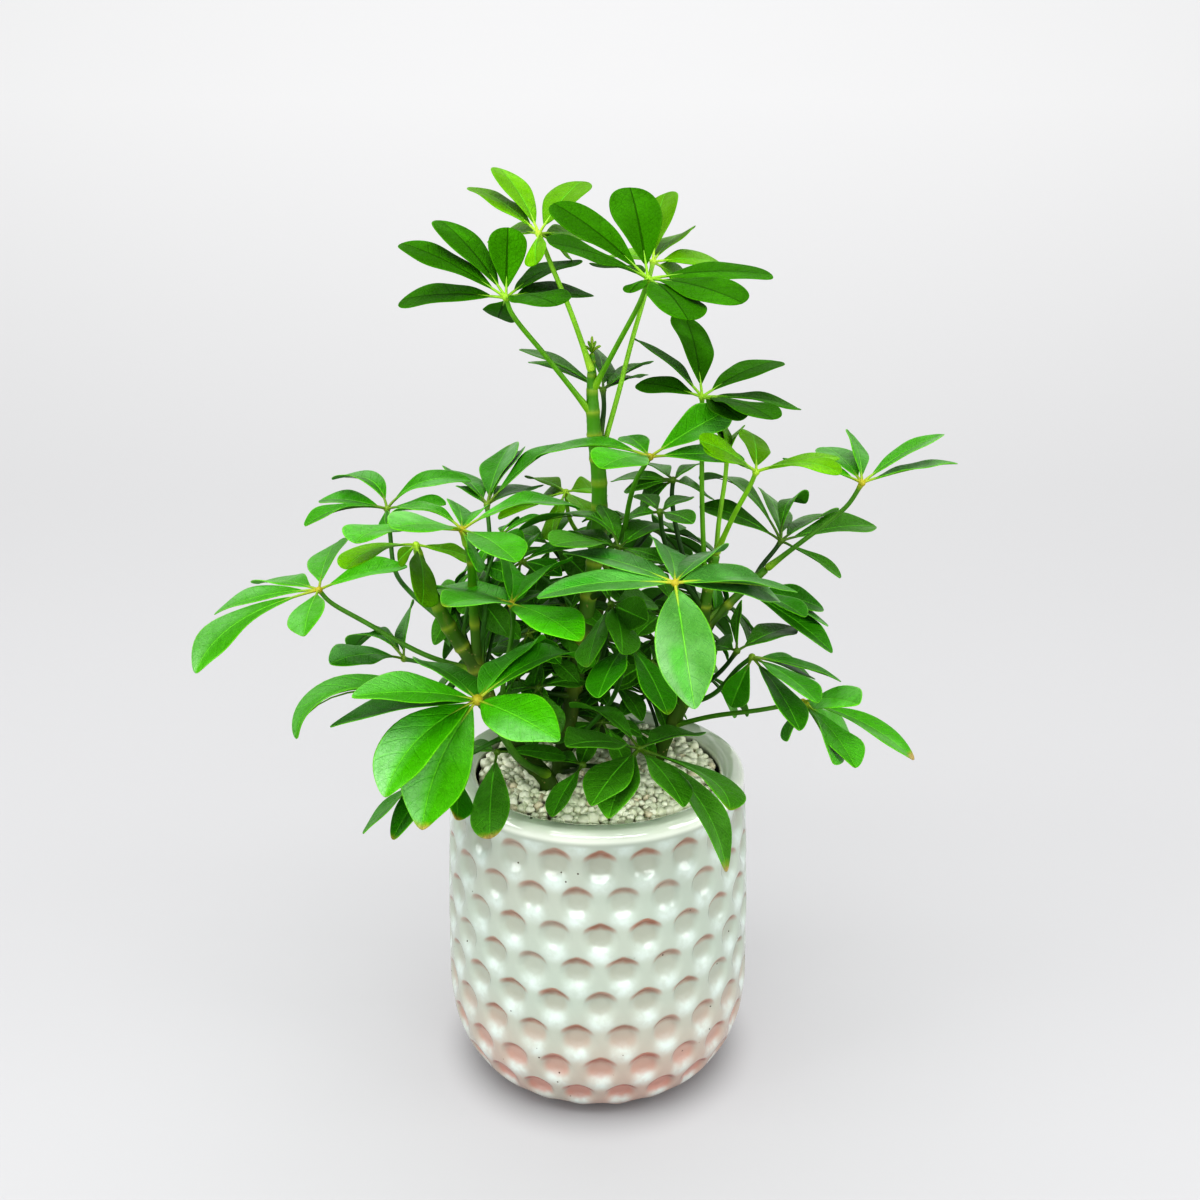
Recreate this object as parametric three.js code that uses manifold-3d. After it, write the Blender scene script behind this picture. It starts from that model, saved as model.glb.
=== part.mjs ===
// A potted umbrella plant: a dimpled glazed pot, potting soil, a top dressing of stone chips,
// four woody stems, and compound leaves that each have a stalk, a hub and a whorl of leaflets.
// Millimetres, +Z up, origin at the centre of the pot's foot. The reference view looks along +Y.
import * as THREE from "three";
import { mergeVertices } from "three/addons/utils/BufferGeometryUtils.js";
import Module from "manifold-3d";

const wasm = await Module();
wasm.setup();

// The pot
const POT_RADIUS = 80;
const FOOT_RADIUS = 52;
const BELLY_HEIGHT = 48; // below this the wall turns in to the foot as a quarter ellipse
const SHOULDER_HEIGHT = 172; // the wall's slow inward lean is measured up to here
const SHOULDER_LEAN = 4.7;
const RIM_HEIGHT = 168;
const RIM_ROUND = 4.5; // how far the rounded lip drops on its outside
const LIP_OUTER = 72;
const LIP_INNER = 66.5;
const MOUTH_RADIUS = 63;
const MOUTH_HEIGHT = 165; // the narrowest place of the mouth
const NECK_HEIGHT = 150; // below this the wall has its full hollow inside
const CAVITY_WALL = 9;
const FLOOR_HEIGHT = 9;
const DENTS_AROUND = 22;
const DENT_ROWS = 9;
const FIRST_DENT_HEIGHT = 150; // centre of the top row
const DENT_PITCH = 18.85; // from row to row along the wall
const DENT_DEPTH = 2.2;
const DENT_TURN = -Math.PI / 2 + 0.016; // one dent of the odd rows faces the front

// The filling
const SOIL_HEIGHT = 156;
const SOIL_INSET = 1.3; // from the inside of the wall
const SOIL_TOP_RADIUS = 64.3;
const CHIP_HEIGHT = 165;
const CHIP_RELIEF = 2.6;
const CHIP_STRAY = 3;
const CHIP_TURN = 0.5; // of the angle from one point to the next
const CHIP_EDGE_DROP = 1.2;
const CHIP_RINGS = 6;
const GAP = 0.3; // clearance between pieces that touch

// The leaves
const LEAFLET_LENGTH = 58;
const LEAFLET_WIDTH = 25;
const BLADE_SHAPE = 0.43; // width of a short leaflet, per unit of its length
const RIB_HALF = 0.75; // half the thickness of a leaflet at its midrib
const STALKLET_HALF = 1;
const BLADE_START = 0.13; // share of the leaflet's length that is its own little stalk
const BLADE_ROWS = [BLADE_START, 0.38, 0.66, 0.9];
const FEW_ROWS = [BLADE_START, 0.45, 0.82]; // for narrow leaflets and those inside the crown
const NARROW_VIEW = 19; // pixels
const STALK_SIDES = 4;
const STEM_SIDES = 6;
const WELD = 0.05; // detail finer than this is merged where blades meet
const BLADE_FOLD = 0.2; // how far each half blade lifts, per unit of its width
const BLADE_ARCH = 0.045; // rise of the middle over the straight line, per unit of length
const HIDDEN_ARCH = 0.1;
const WHORL_STRAY = 0.2; // of the angle from one leaflet to the next
const HUB_RADIUS = 3.1;
const STALK_RADIUS = 1.15;

// The reference view: places below are given as [across, down] in its 1200 pixel frame,
// with a depth in millimetres (negative towards the viewer) as a third number.
const VIEW_POINT = new THREE.Vector3(1.15, -650, 481.5);
const VIEW_PITCH = THREE.MathUtils.degToRad(19.04);
const VIEW_FOCAL = 1381;
const VIEW_CENTRE = 600;
const TOWARDS = -1;
const AWAY = 1;

function viewRay([across, down]) {
  const right = (across - VIEW_CENTRE) / VIEW_FOCAL;
  const up = (VIEW_CENTRE - down) / VIEW_FOCAL;
  const [c, s] = [Math.cos(VIEW_PITCH), Math.sin(VIEW_PITCH)];
  return new THREE.Vector3(right, c + up * s, up * c - s);
}

function place([across, down, depth]) {
  const ray = viewRay([across, down]);
  return VIEW_POINT.clone().addScaledVector(ray, (depth - VIEW_POINT.y) / ray.y);
}

// The place on the sight line of a pixel that lies at a given distance from a known point.
function placeAtDistance(pixel, from, distance, side) {
  const ray = viewRay(pixel);
  const offset = VIEW_POINT.clone().sub(from);
  const a = ray.lengthSq();
  const half = ray.dot(offset);
  const room = half * half - a * (offset.lengthSq() - distance * distance);
  const along = (-half + side * Math.sqrt(Math.max(0, room))) / a;
  return VIEW_POINT.clone().addScaledVector(ray, along);
}

// A repeatable draw from 0 to 1 for the n-th irregularity.
function scatter(n) {
  const x = Math.sin(n * 12.9898 + 4.1) * 43758.5453;
  return x - Math.floor(x);
}

function meshData(geometry) {
  const bare = geometry.index ? geometry.toNonIndexed() : geometry.clone();
  for (const name of Object.keys(bare.attributes)) {
    if (name !== "position") bare.deleteAttribute(name);
  }
  return mergeVertices(bare, 1e-4);
}

function solid(geometry) {
  const data = meshData(geometry);
  return new wasm.Manifold(
    new wasm.Mesh({
      numProp: 3,
      vertProperties: data.attributes.position.array,
      triVerts: new Uint32Array(data.index.array),
    }),
  );
}

function geometryOf(body) {
  const mesh = body.getMesh();
  return new THREE.BufferGeometry()
    .setAttribute("position", new THREE.BufferAttribute(mesh.vertProperties, 3))
    .setIndex(new THREE.BufferAttribute(mesh.triVerts, 1));
}

function fromFaces(points, faces) {
  return new THREE.BufferGeometry()
    .setAttribute("position", new THREE.Float32BufferAttribute(points.flatMap((p) => p.toArray()), 3))
    .setIndex(faces.flat());
}

function joined(bodies) {
  return bodies.length === 1 ? bodies[0] : wasm.Manifold.union(bodies);
}

// The largest body: what a cut leaves loose is dropped.
function wholePiece(body) {
  const pieces = body.decompose();
  return pieces.reduce((best, piece) => (piece.volume() > best.volume() ? piece : best));
}

// Two rings of the same count of points, joined by a band of outward triangles.
function band(lower, upper) {
  const n = lower.length;
  return lower.flatMap((_, i) => {
    const j = (i + 1) % n;
    return [
      [lower[i], lower[j], upper[j]],
      [lower[i], upper[j], upper[i]],
    ];
  });
}

function fan(centre, ring) {
  return ring.map((_, i) => [centre, ring[i], ring[(i + 1) % ring.length]]);
}

// Pot wall: [radius, height] at a distance along the profile, measured down from the shoulder.
function wallRadius(height) {
  if (height >= BELLY_HEIGHT) {
    const rise = (height - BELLY_HEIGHT) / (SHOULDER_HEIGHT - BELLY_HEIGHT);
    return POT_RADIUS - SHOULDER_LEAN * rise * rise;
  }
  const turn = Math.acos(1 - Math.max(0, height) / BELLY_HEIGHT);
  return FOOT_RADIUS + (POT_RADIUS - FOOT_RADIUS) * Math.sin(turn);
}

function wallPoint(distance) {
  const step = 0.25;
  let height = FIRST_DENT_HEIGHT;
  let left = Math.abs(distance);
  const way = Math.sign(distance) || 1;
  while (left > 0 && height > 0) {
    const next = Math.max(0, height - way * step);
    left -= Math.hypot(step, wallRadius(next) - wallRadius(height));
    height = next;
  }
  return [wallRadius(height), height];
}

function makePot() {
  const points = [];
  const faces = [];
  const turnStep = Math.PI / DENTS_AROUND;
  const add = (radius, height, halfTurns) => {
    const angle = DENT_TURN + halfTurns * turnStep;
    points.push(new THREE.Vector3(radius * Math.cos(angle), radius * Math.sin(angle), height));
    return points.length - 1;
  };
  // Net points lie a third of a pitch above and below each row of dents, six round each dent.
  const netRow = (distance, shift) =>
    Array.from({ length: DENTS_AROUND }, (_, k) => add(...wallPoint(distance), 2 * k + shift));
  const rows = Array.from({ length: DENT_ROWS + 1 }, (_, row) => {
    const gap = (row - 0.5) * DENT_PITCH;
    const shift = row % 2;
    return {
      upper: netRow(gap - DENT_PITCH / 6, shift),
      lower: netRow(gap + DENT_PITCH / 6, 1 - shift),
      shift,
    };
  });
  // Dent k of a row lies between the net points on its two sides; the other net points lie in line
  // with it, above and below.
  const around = (list, k) => list[(k + DENTS_AROUND) % DENTS_AROUND];
  for (let row = 0; row < DENT_ROWS; row++) {
    const { upper: top, lower: high, shift } = rows[row];
    const { upper: low, lower: foot } = rows[row + 1];
    const [radius, height] = wallPoint(row * DENT_PITCH);
    for (let k = 0; k < DENTS_AROUND; k++) {
      const centre = add(radius - DENT_DEPTH, height, 2 * k + shift);
      const [left, right] = [k + shift - 1, k + shift];
      faces.push(
        ...fan(centre, [
          around(top, k), around(high, left), around(low, left),
          around(foot, k), around(low, right), around(high, right),
        ]),
      );
    }
  }
  const zigzag = ({ upper, lower, shift }) =>
    Array.from({ length: 2 * DENTS_AROUND }, (_, turn) =>
      turn % 2 === shift ? upper[(turn - shift) / 2] : lower[(turn - 1 + shift) / 2],
    );
  const ring = (radius, height) =>
    Array.from({ length: 2 * DENTS_AROUND }, (_, turn) => add(radius, height, turn));
  const lastRow = zigzag(rows[DENT_ROWS]);
  const firstRow = zigzag(rows[0]);
  const outside = [
    ring(FOOT_RADIUS, 0),
    lastRow,
  ];
  const inside = [
    firstRow,
    ring(wallRadius(RIM_HEIGHT), RIM_HEIGHT - RIM_ROUND),
    ring(LIP_OUTER, RIM_HEIGHT),
    ring(LIP_INNER, RIM_HEIGHT),
    ring(MOUTH_RADIUS, MOUTH_HEIGHT),
    ring(wallRadius(NECK_HEIGHT) - CAVITY_WALL, NECK_HEIGHT),
    ring(POT_RADIUS - CAVITY_WALL, BELLY_HEIGHT),
    ring(FOOT_RADIUS, FLOOR_HEIGHT),
  ];
  for (const chain of [outside, inside]) {
    for (let i = 1; i < chain.length; i++) faces.push(...band(chain[i - 1], chain[i]));
  }
  points.push(new THREE.Vector3(0, 0, 0));
  faces.push(...fan(points.length - 1, outside[0].slice().reverse()));
  points.push(new THREE.Vector3(0, 0, FLOOR_HEIGHT));
  faces.push(...fan(points.length - 1, inside[inside.length - 1]));
  return solid(fromFaces(points, faces));
}

function makeSoil() {
  const profile = [
    [0, FLOOR_HEIGHT + GAP],
    [FOOT_RADIUS - SOIL_INSET, FLOOR_HEIGHT + GAP],
    [POT_RADIUS - CAVITY_WALL - SOIL_INSET, BELLY_HEIGHT],
    [wallRadius(NECK_HEIGHT) - CAVITY_WALL - SOIL_INSET, NECK_HEIGHT],
    [SOIL_TOP_RADIUS, SOIL_HEIGHT],
    [0, SOIL_HEIGHT],
  ].map(([radius, height]) => new THREE.Vector2(radius, height));
  const turned = new THREE.LatheGeometry(profile, DENTS_AROUND).rotateX(Math.PI / 2);
  return solid(turned);
}

// The chips: rings of points with their heights scattered, so that each facet is one chip's face.
function makeChips() {
  const points = [new THREE.Vector3(0, 0, CHIP_HEIGHT)];
  const rings = [[0]];
  const faces = [];
  const radius = MOUTH_RADIUS - 1;
  for (let ring = 1; ring <= CHIP_RINGS; ring++) {
    const count = 6 * ring;
    const edge = ring === CHIP_RINGS;
    rings.push(
      Array.from({ length: count }, (_, k) => {
        const seed = ring * 97 + k;
        const stray = edge ? 0 : (scatter(seed) - 0.5) * CHIP_STRAY;
        const turn = edge ? 0 : (scatter(seed + 0.5) - 0.5) * CHIP_TURN;
        const reach = (radius * ring) / CHIP_RINGS + stray;
        const angle = ((k + turn) / count) * 2 * Math.PI;
        const lift = edge ? -CHIP_EDGE_DROP : (scatter(seed + 0.25) - 0.5) * 2 * CHIP_RELIEF;
        points.push(
          new THREE.Vector3(reach * Math.cos(angle), reach * Math.sin(angle), CHIP_HEIGHT + lift),
        );
        return points.length - 1;
      }),
    );
  }
  for (let ring = 1; ring <= CHIP_RINGS; ring++) {
    const [inner, outer] = [rings[ring - 1], rings[ring]];
    for (let side = 0; side < 6; side++) {
      for (let k = 0; k < ring; k++) {
        const here = outer[side * ring + k];
        const next = outer[(side * ring + k + 1) % outer.length];
        const base = inner[(side * (ring - 1) + k) % inner.length];
        faces.push([base, here, next]);
        if (k < ring - 1) {
          faces.push([base, next, inner[(side * (ring - 1) + k + 1) % inner.length]]);
        }
      }
    }
  }
  const edge = rings[CHIP_RINGS];
  const under = edge.map((index) => {
    const point = points[index].clone().setZ(SOIL_HEIGHT + GAP);
    points.push(point);
    return points.length - 1;
  });
  faces.push(...band(under, edge));
  points.push(new THREE.Vector3(0, 0, SOIL_HEIGHT + GAP));
  faces.push(...fan(points.length - 1, under.slice().reverse()));
  return solid(fromFaces(points, faces));
}

// A round stem or stalk that runs through the given places, thinning evenly from radius to radius.
function taperedRod(places, radii, sides, steps) {
  const curve = new THREE.CatmullRomCurve3(places);
  const frames = curve.computeFrenetFrames(steps, false);
  const points = [];
  const faces = [];
  const rings = [];
  for (let i = 0; i <= steps; i++) {
    const share = i / steps;
    const slot = share * (radii.length - 1);
    const whole = Math.min(Math.floor(slot), radii.length - 2);
    const radius = THREE.MathUtils.lerp(radii[whole], radii[whole + 1], slot - whole);
    const centre = curve.getPoint(share);
    rings.push(
      Array.from({ length: sides }, (_, k) => {
        const angle = (2 * Math.PI * k) / sides;
        points.push(
          centre
            .clone()
            .addScaledVector(frames.normals[i], radius * Math.cos(angle))
            .addScaledVector(frames.binormals[i], radius * Math.sin(angle)),
        );
        return points.length - 1;
      }),
    );
    if (i > 0) faces.push(...band(rings[i - 1], rings[i]));
  }
  points.push(places[0].clone(), places[places.length - 1].clone());
  faces.push(...fan(points.length - 2, rings[0].slice().reverse()));
  faces.push(...fan(points.length - 1, rings[steps]));
  return solid(fromFaces(points, faces));
}

// Half width of a leaflet's blade, per unit of its greatest width: wedge-shaped at the base,
// widest past the middle, bluntly pointed.
function bladeHalfWidth(share) {
  const x = Math.max(0, (share - BLADE_START) / (1 - BLADE_START));
  return 0.5 * Math.sin(Math.PI * x ** 1.55) ** 0.65;
}

// One leaflet from the hub to its tip: a rib line that bends through its middle place, and a
// blade folded up a little along it. front is the way that its upper face looks.
function leaflet({ start, middle, end, front, width, shares }) {
  const bow = middle.clone().multiplyScalar(2).addScaledVector(start, -0.5).addScaledVector(end, -0.5);
  const rib = new THREE.QuadraticBezierCurve3(start, bow, end);
  const points = [start.clone()];
  const faces = [];
  const rows = shares.map((share) => {
    const centre = rib.getPoint(share);
    const along = rib.getTangent(share);
    const side = new THREE.Vector3().crossVectors(along, front).normalize();
    const up = new THREE.Vector3().crossVectors(side, along);
    const half = Math.max(STALKLET_HALF, width * bladeHalfWidth(share));
    const lift = share > BLADE_START ? half * BLADE_FOLD : 0;
    const first = points.length;
    points.push(
      centre.clone().addScaledVector(side, -half).addScaledVector(up, lift),
      centre.clone().addScaledVector(up, RIB_HALF),
      centre.clone().addScaledVector(side, half).addScaledVector(up, lift),
      centre.clone().addScaledVector(up, -RIB_HALF),
    );
    return { left: first, top: first + 1, right: first + 2, under: first + 3 };
  });
  points.push(end.clone());
  const tip = points.length - 1;
  const first = rows[0];
  faces.push([0, first.right, first.top], [0, first.top, first.left]);
  faces.push([0, first.under, first.right], [0, first.left, first.under]);
  for (let i = 1; i < rows.length; i++) {
    const [a, b] = [rows[i - 1], rows[i]];
    faces.push([a.right, b.right, a.top], [b.right, b.top, a.top]);
    faces.push([a.top, b.top, a.left], [b.top, b.left, a.left]);
    faces.push([a.under, b.right, a.right], [a.under, b.under, b.right]);
    faces.push([a.left, b.under, a.under], [a.left, b.left, b.under]);
  }
  const last = rows[rows.length - 1];
  faces.push([tip, last.top, last.right], [tip, last.left, last.top]);
  faces.push([tip, last.right, last.under], [tip, last.under, last.left]);
  return solid(fromFaces(points, faces));
}

// A leaflet that is seen in the view: its tip's pixel, the width that it shows there in pixels,
// and, where they differ from the rule, the side it points to, a pixel it bends through, its length.
function seenLeaflet(hub, hubPixel, leaf, [tipAcross, tipDown, shown, side, bend, reach]) {
  const length = reach ?? leaf.length ?? LEAFLET_LENGTH;
  const way = side || (tipDown > hubPixel[1] ? TOWARDS : AWAY);
  const end = placeAtDistance([tipAcross, tipDown], hub, length, way);
  const chord = end.clone().sub(hub);
  const centre = hub.clone().addScaledVector(chord, 0.5);
  const sight = centre.clone().sub(VIEW_POINT);
  const scale = (sight.y * Math.cos(VIEW_PITCH) - sight.z * Math.sin(VIEW_PITCH)) / VIEW_FOCAL;
  sight.normalize();
  const along = chord.clone().normalize();
  const facing = sight.clone().negate().addScaledVector(along, sight.dot(along)).normalize();
  const across = new THREE.Vector3().crossVectors(along, facing);
  const shownWidth = shown * scale;
  const width = Math.max(shownWidth, Math.min(LEAFLET_WIDTH, BLADE_SHAPE * chord.length()));
  const cosine = Math.min(1, shownWidth / width);
  const sine = Math.sqrt(1 - cosine * cosine) * (across.z >= 0 ? 1 : -1);
  const front = facing.clone().multiplyScalar(cosine).addScaledVector(across, sine);
  const middle = bend
    ? place([...bend, centre.y])
    : centre.addScaledVector(front, BLADE_ARCH * chord.length());
  return { start: hub, middle, end, front, width, shares: shown < NARROW_VIEW ? FEW_ROWS : BLADE_ROWS };
}

// A leaflet of a whorl that is laid out round an axis: the k-th of its count.
function whorlLeaflet(hub, leaf, k) {
  const axis = new THREE.Vector3(...leaf.axis).normalize();
  const level = new THREE.Vector3(axis.z, 0, -axis.x).normalize();
  const turn = ((k + WHORL_STRAY * scatter(k * 7.3 + hub.x)) / leaf.count) * 2 * Math.PI;
  const radial = level.applyAxisAngle(axis, turn);
  const length = leaf.length * (0.85 + 0.25 * scatter(k * 3.1 + hub.z));
  const droop = leaf.droop + 0.25 * (scatter(k * 5.7 + hub.y) - 0.5);
  const along = radial.clone().multiplyScalar(Math.cos(droop)).addScaledVector(axis, -Math.sin(droop));
  const front = axis.clone().addScaledVector(along, -axis.dot(along)).normalize();
  const end = hub.clone().addScaledVector(along, length);
  const middle = hub.clone().lerp(end, 0.5).addScaledVector(front, HIDDEN_ARCH * length);
  return { start: hub, middle, end, front, width: BLADE_SHAPE * length, shares: FEW_ROWS };
}

function makeLeaf(leaf) {
  const hub = place(leaf.hub);
  const blades = leaf.tips
    ? leaf.tips.map((tip) => seenLeaflet(hub, leaf.hub, leaf, tip))
    : Array.from({ length: leaf.count }, (_, k) => whorlLeaflet(hub, leaf, k));
  const knob = new THREE.OctahedronGeometry(HUB_RADIUS, 0).translate(hub.x, hub.y, hub.z);
  const route = [hub, ...leaf.stalk.map(place)];
  const radius = leaf.stalkRadius ?? STALK_RADIUS;
  const stalk = taperedRod(route, [radius, radius, radius * 1.3], STALK_SIDES, route.length);
  return joined([solid(knob), stalk, ...blades.map(leaflet)]);
}

// The woody stems, from below the chips upwards: places, radii, and side branches.
const STEMS = {
  stem_main: {
    colour: 0x7fae1e,
    runs: [
      {
        through: [
          [556, 840, -8], [560, 775, -6], [572, 700, 0], [588, 600, 4],
          [598, 534, 6], [599, 480, 6], [594, 430, 5], [592, 385, 5], [592, 355, 4],
        ],
        radii: [5, 4.4, 4, 3.8, 3.2, 1.4],
        steps: 14,
      },
    ],
  },
  stem_left: {
    colour: 0x5b6b1c,
    runs: [
      {
        through: [
          [552, 840, -22], [548, 782, -22], [520, 752, -22], [492, 708, -22], [474, 664, -25],
          [451, 630, -27], [433, 595, -29], [417, 549, -32],
        ],
        radii: [4.6, 4.4, 4.1, 3.6, 1.8],
        steps: 11,
      },
      {
        through: [[478, 672, -24], [473, 600, -33], [470, 555, -38], [463, 532, -42]],
        radii: [2.6, 1.5],
        steps: 5,
      },
    ],
  },
  stem_right: {
    colour: 0x5d701c,
    runs: [
      {
        through: [
          [652, 835, 12], [656, 765, 10], [688, 690, 6], [701, 640, 2], [706, 600, 0], [715, 556, 0],
        ],
        radii: [4.2, 3.6, 3.2, 2.4],
        steps: 8,
      },
      { through: [[702, 632, 2], [735, 598, 5], [765, 570, 9]], radii: [2.4, 1.9], steps: 4 },
    ],
  },
  stem_back: {
    colour: 0x4a5a1a,
    runs: [
      {
        through: [[602, 815, 34], [600, 740, 38], [588, 680, 46], [596, 620, 60], [612, 565, 70]],
        radii: [4, 3.4, 2.4],
        steps: 7,
      },
    ],
  },
};

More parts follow.
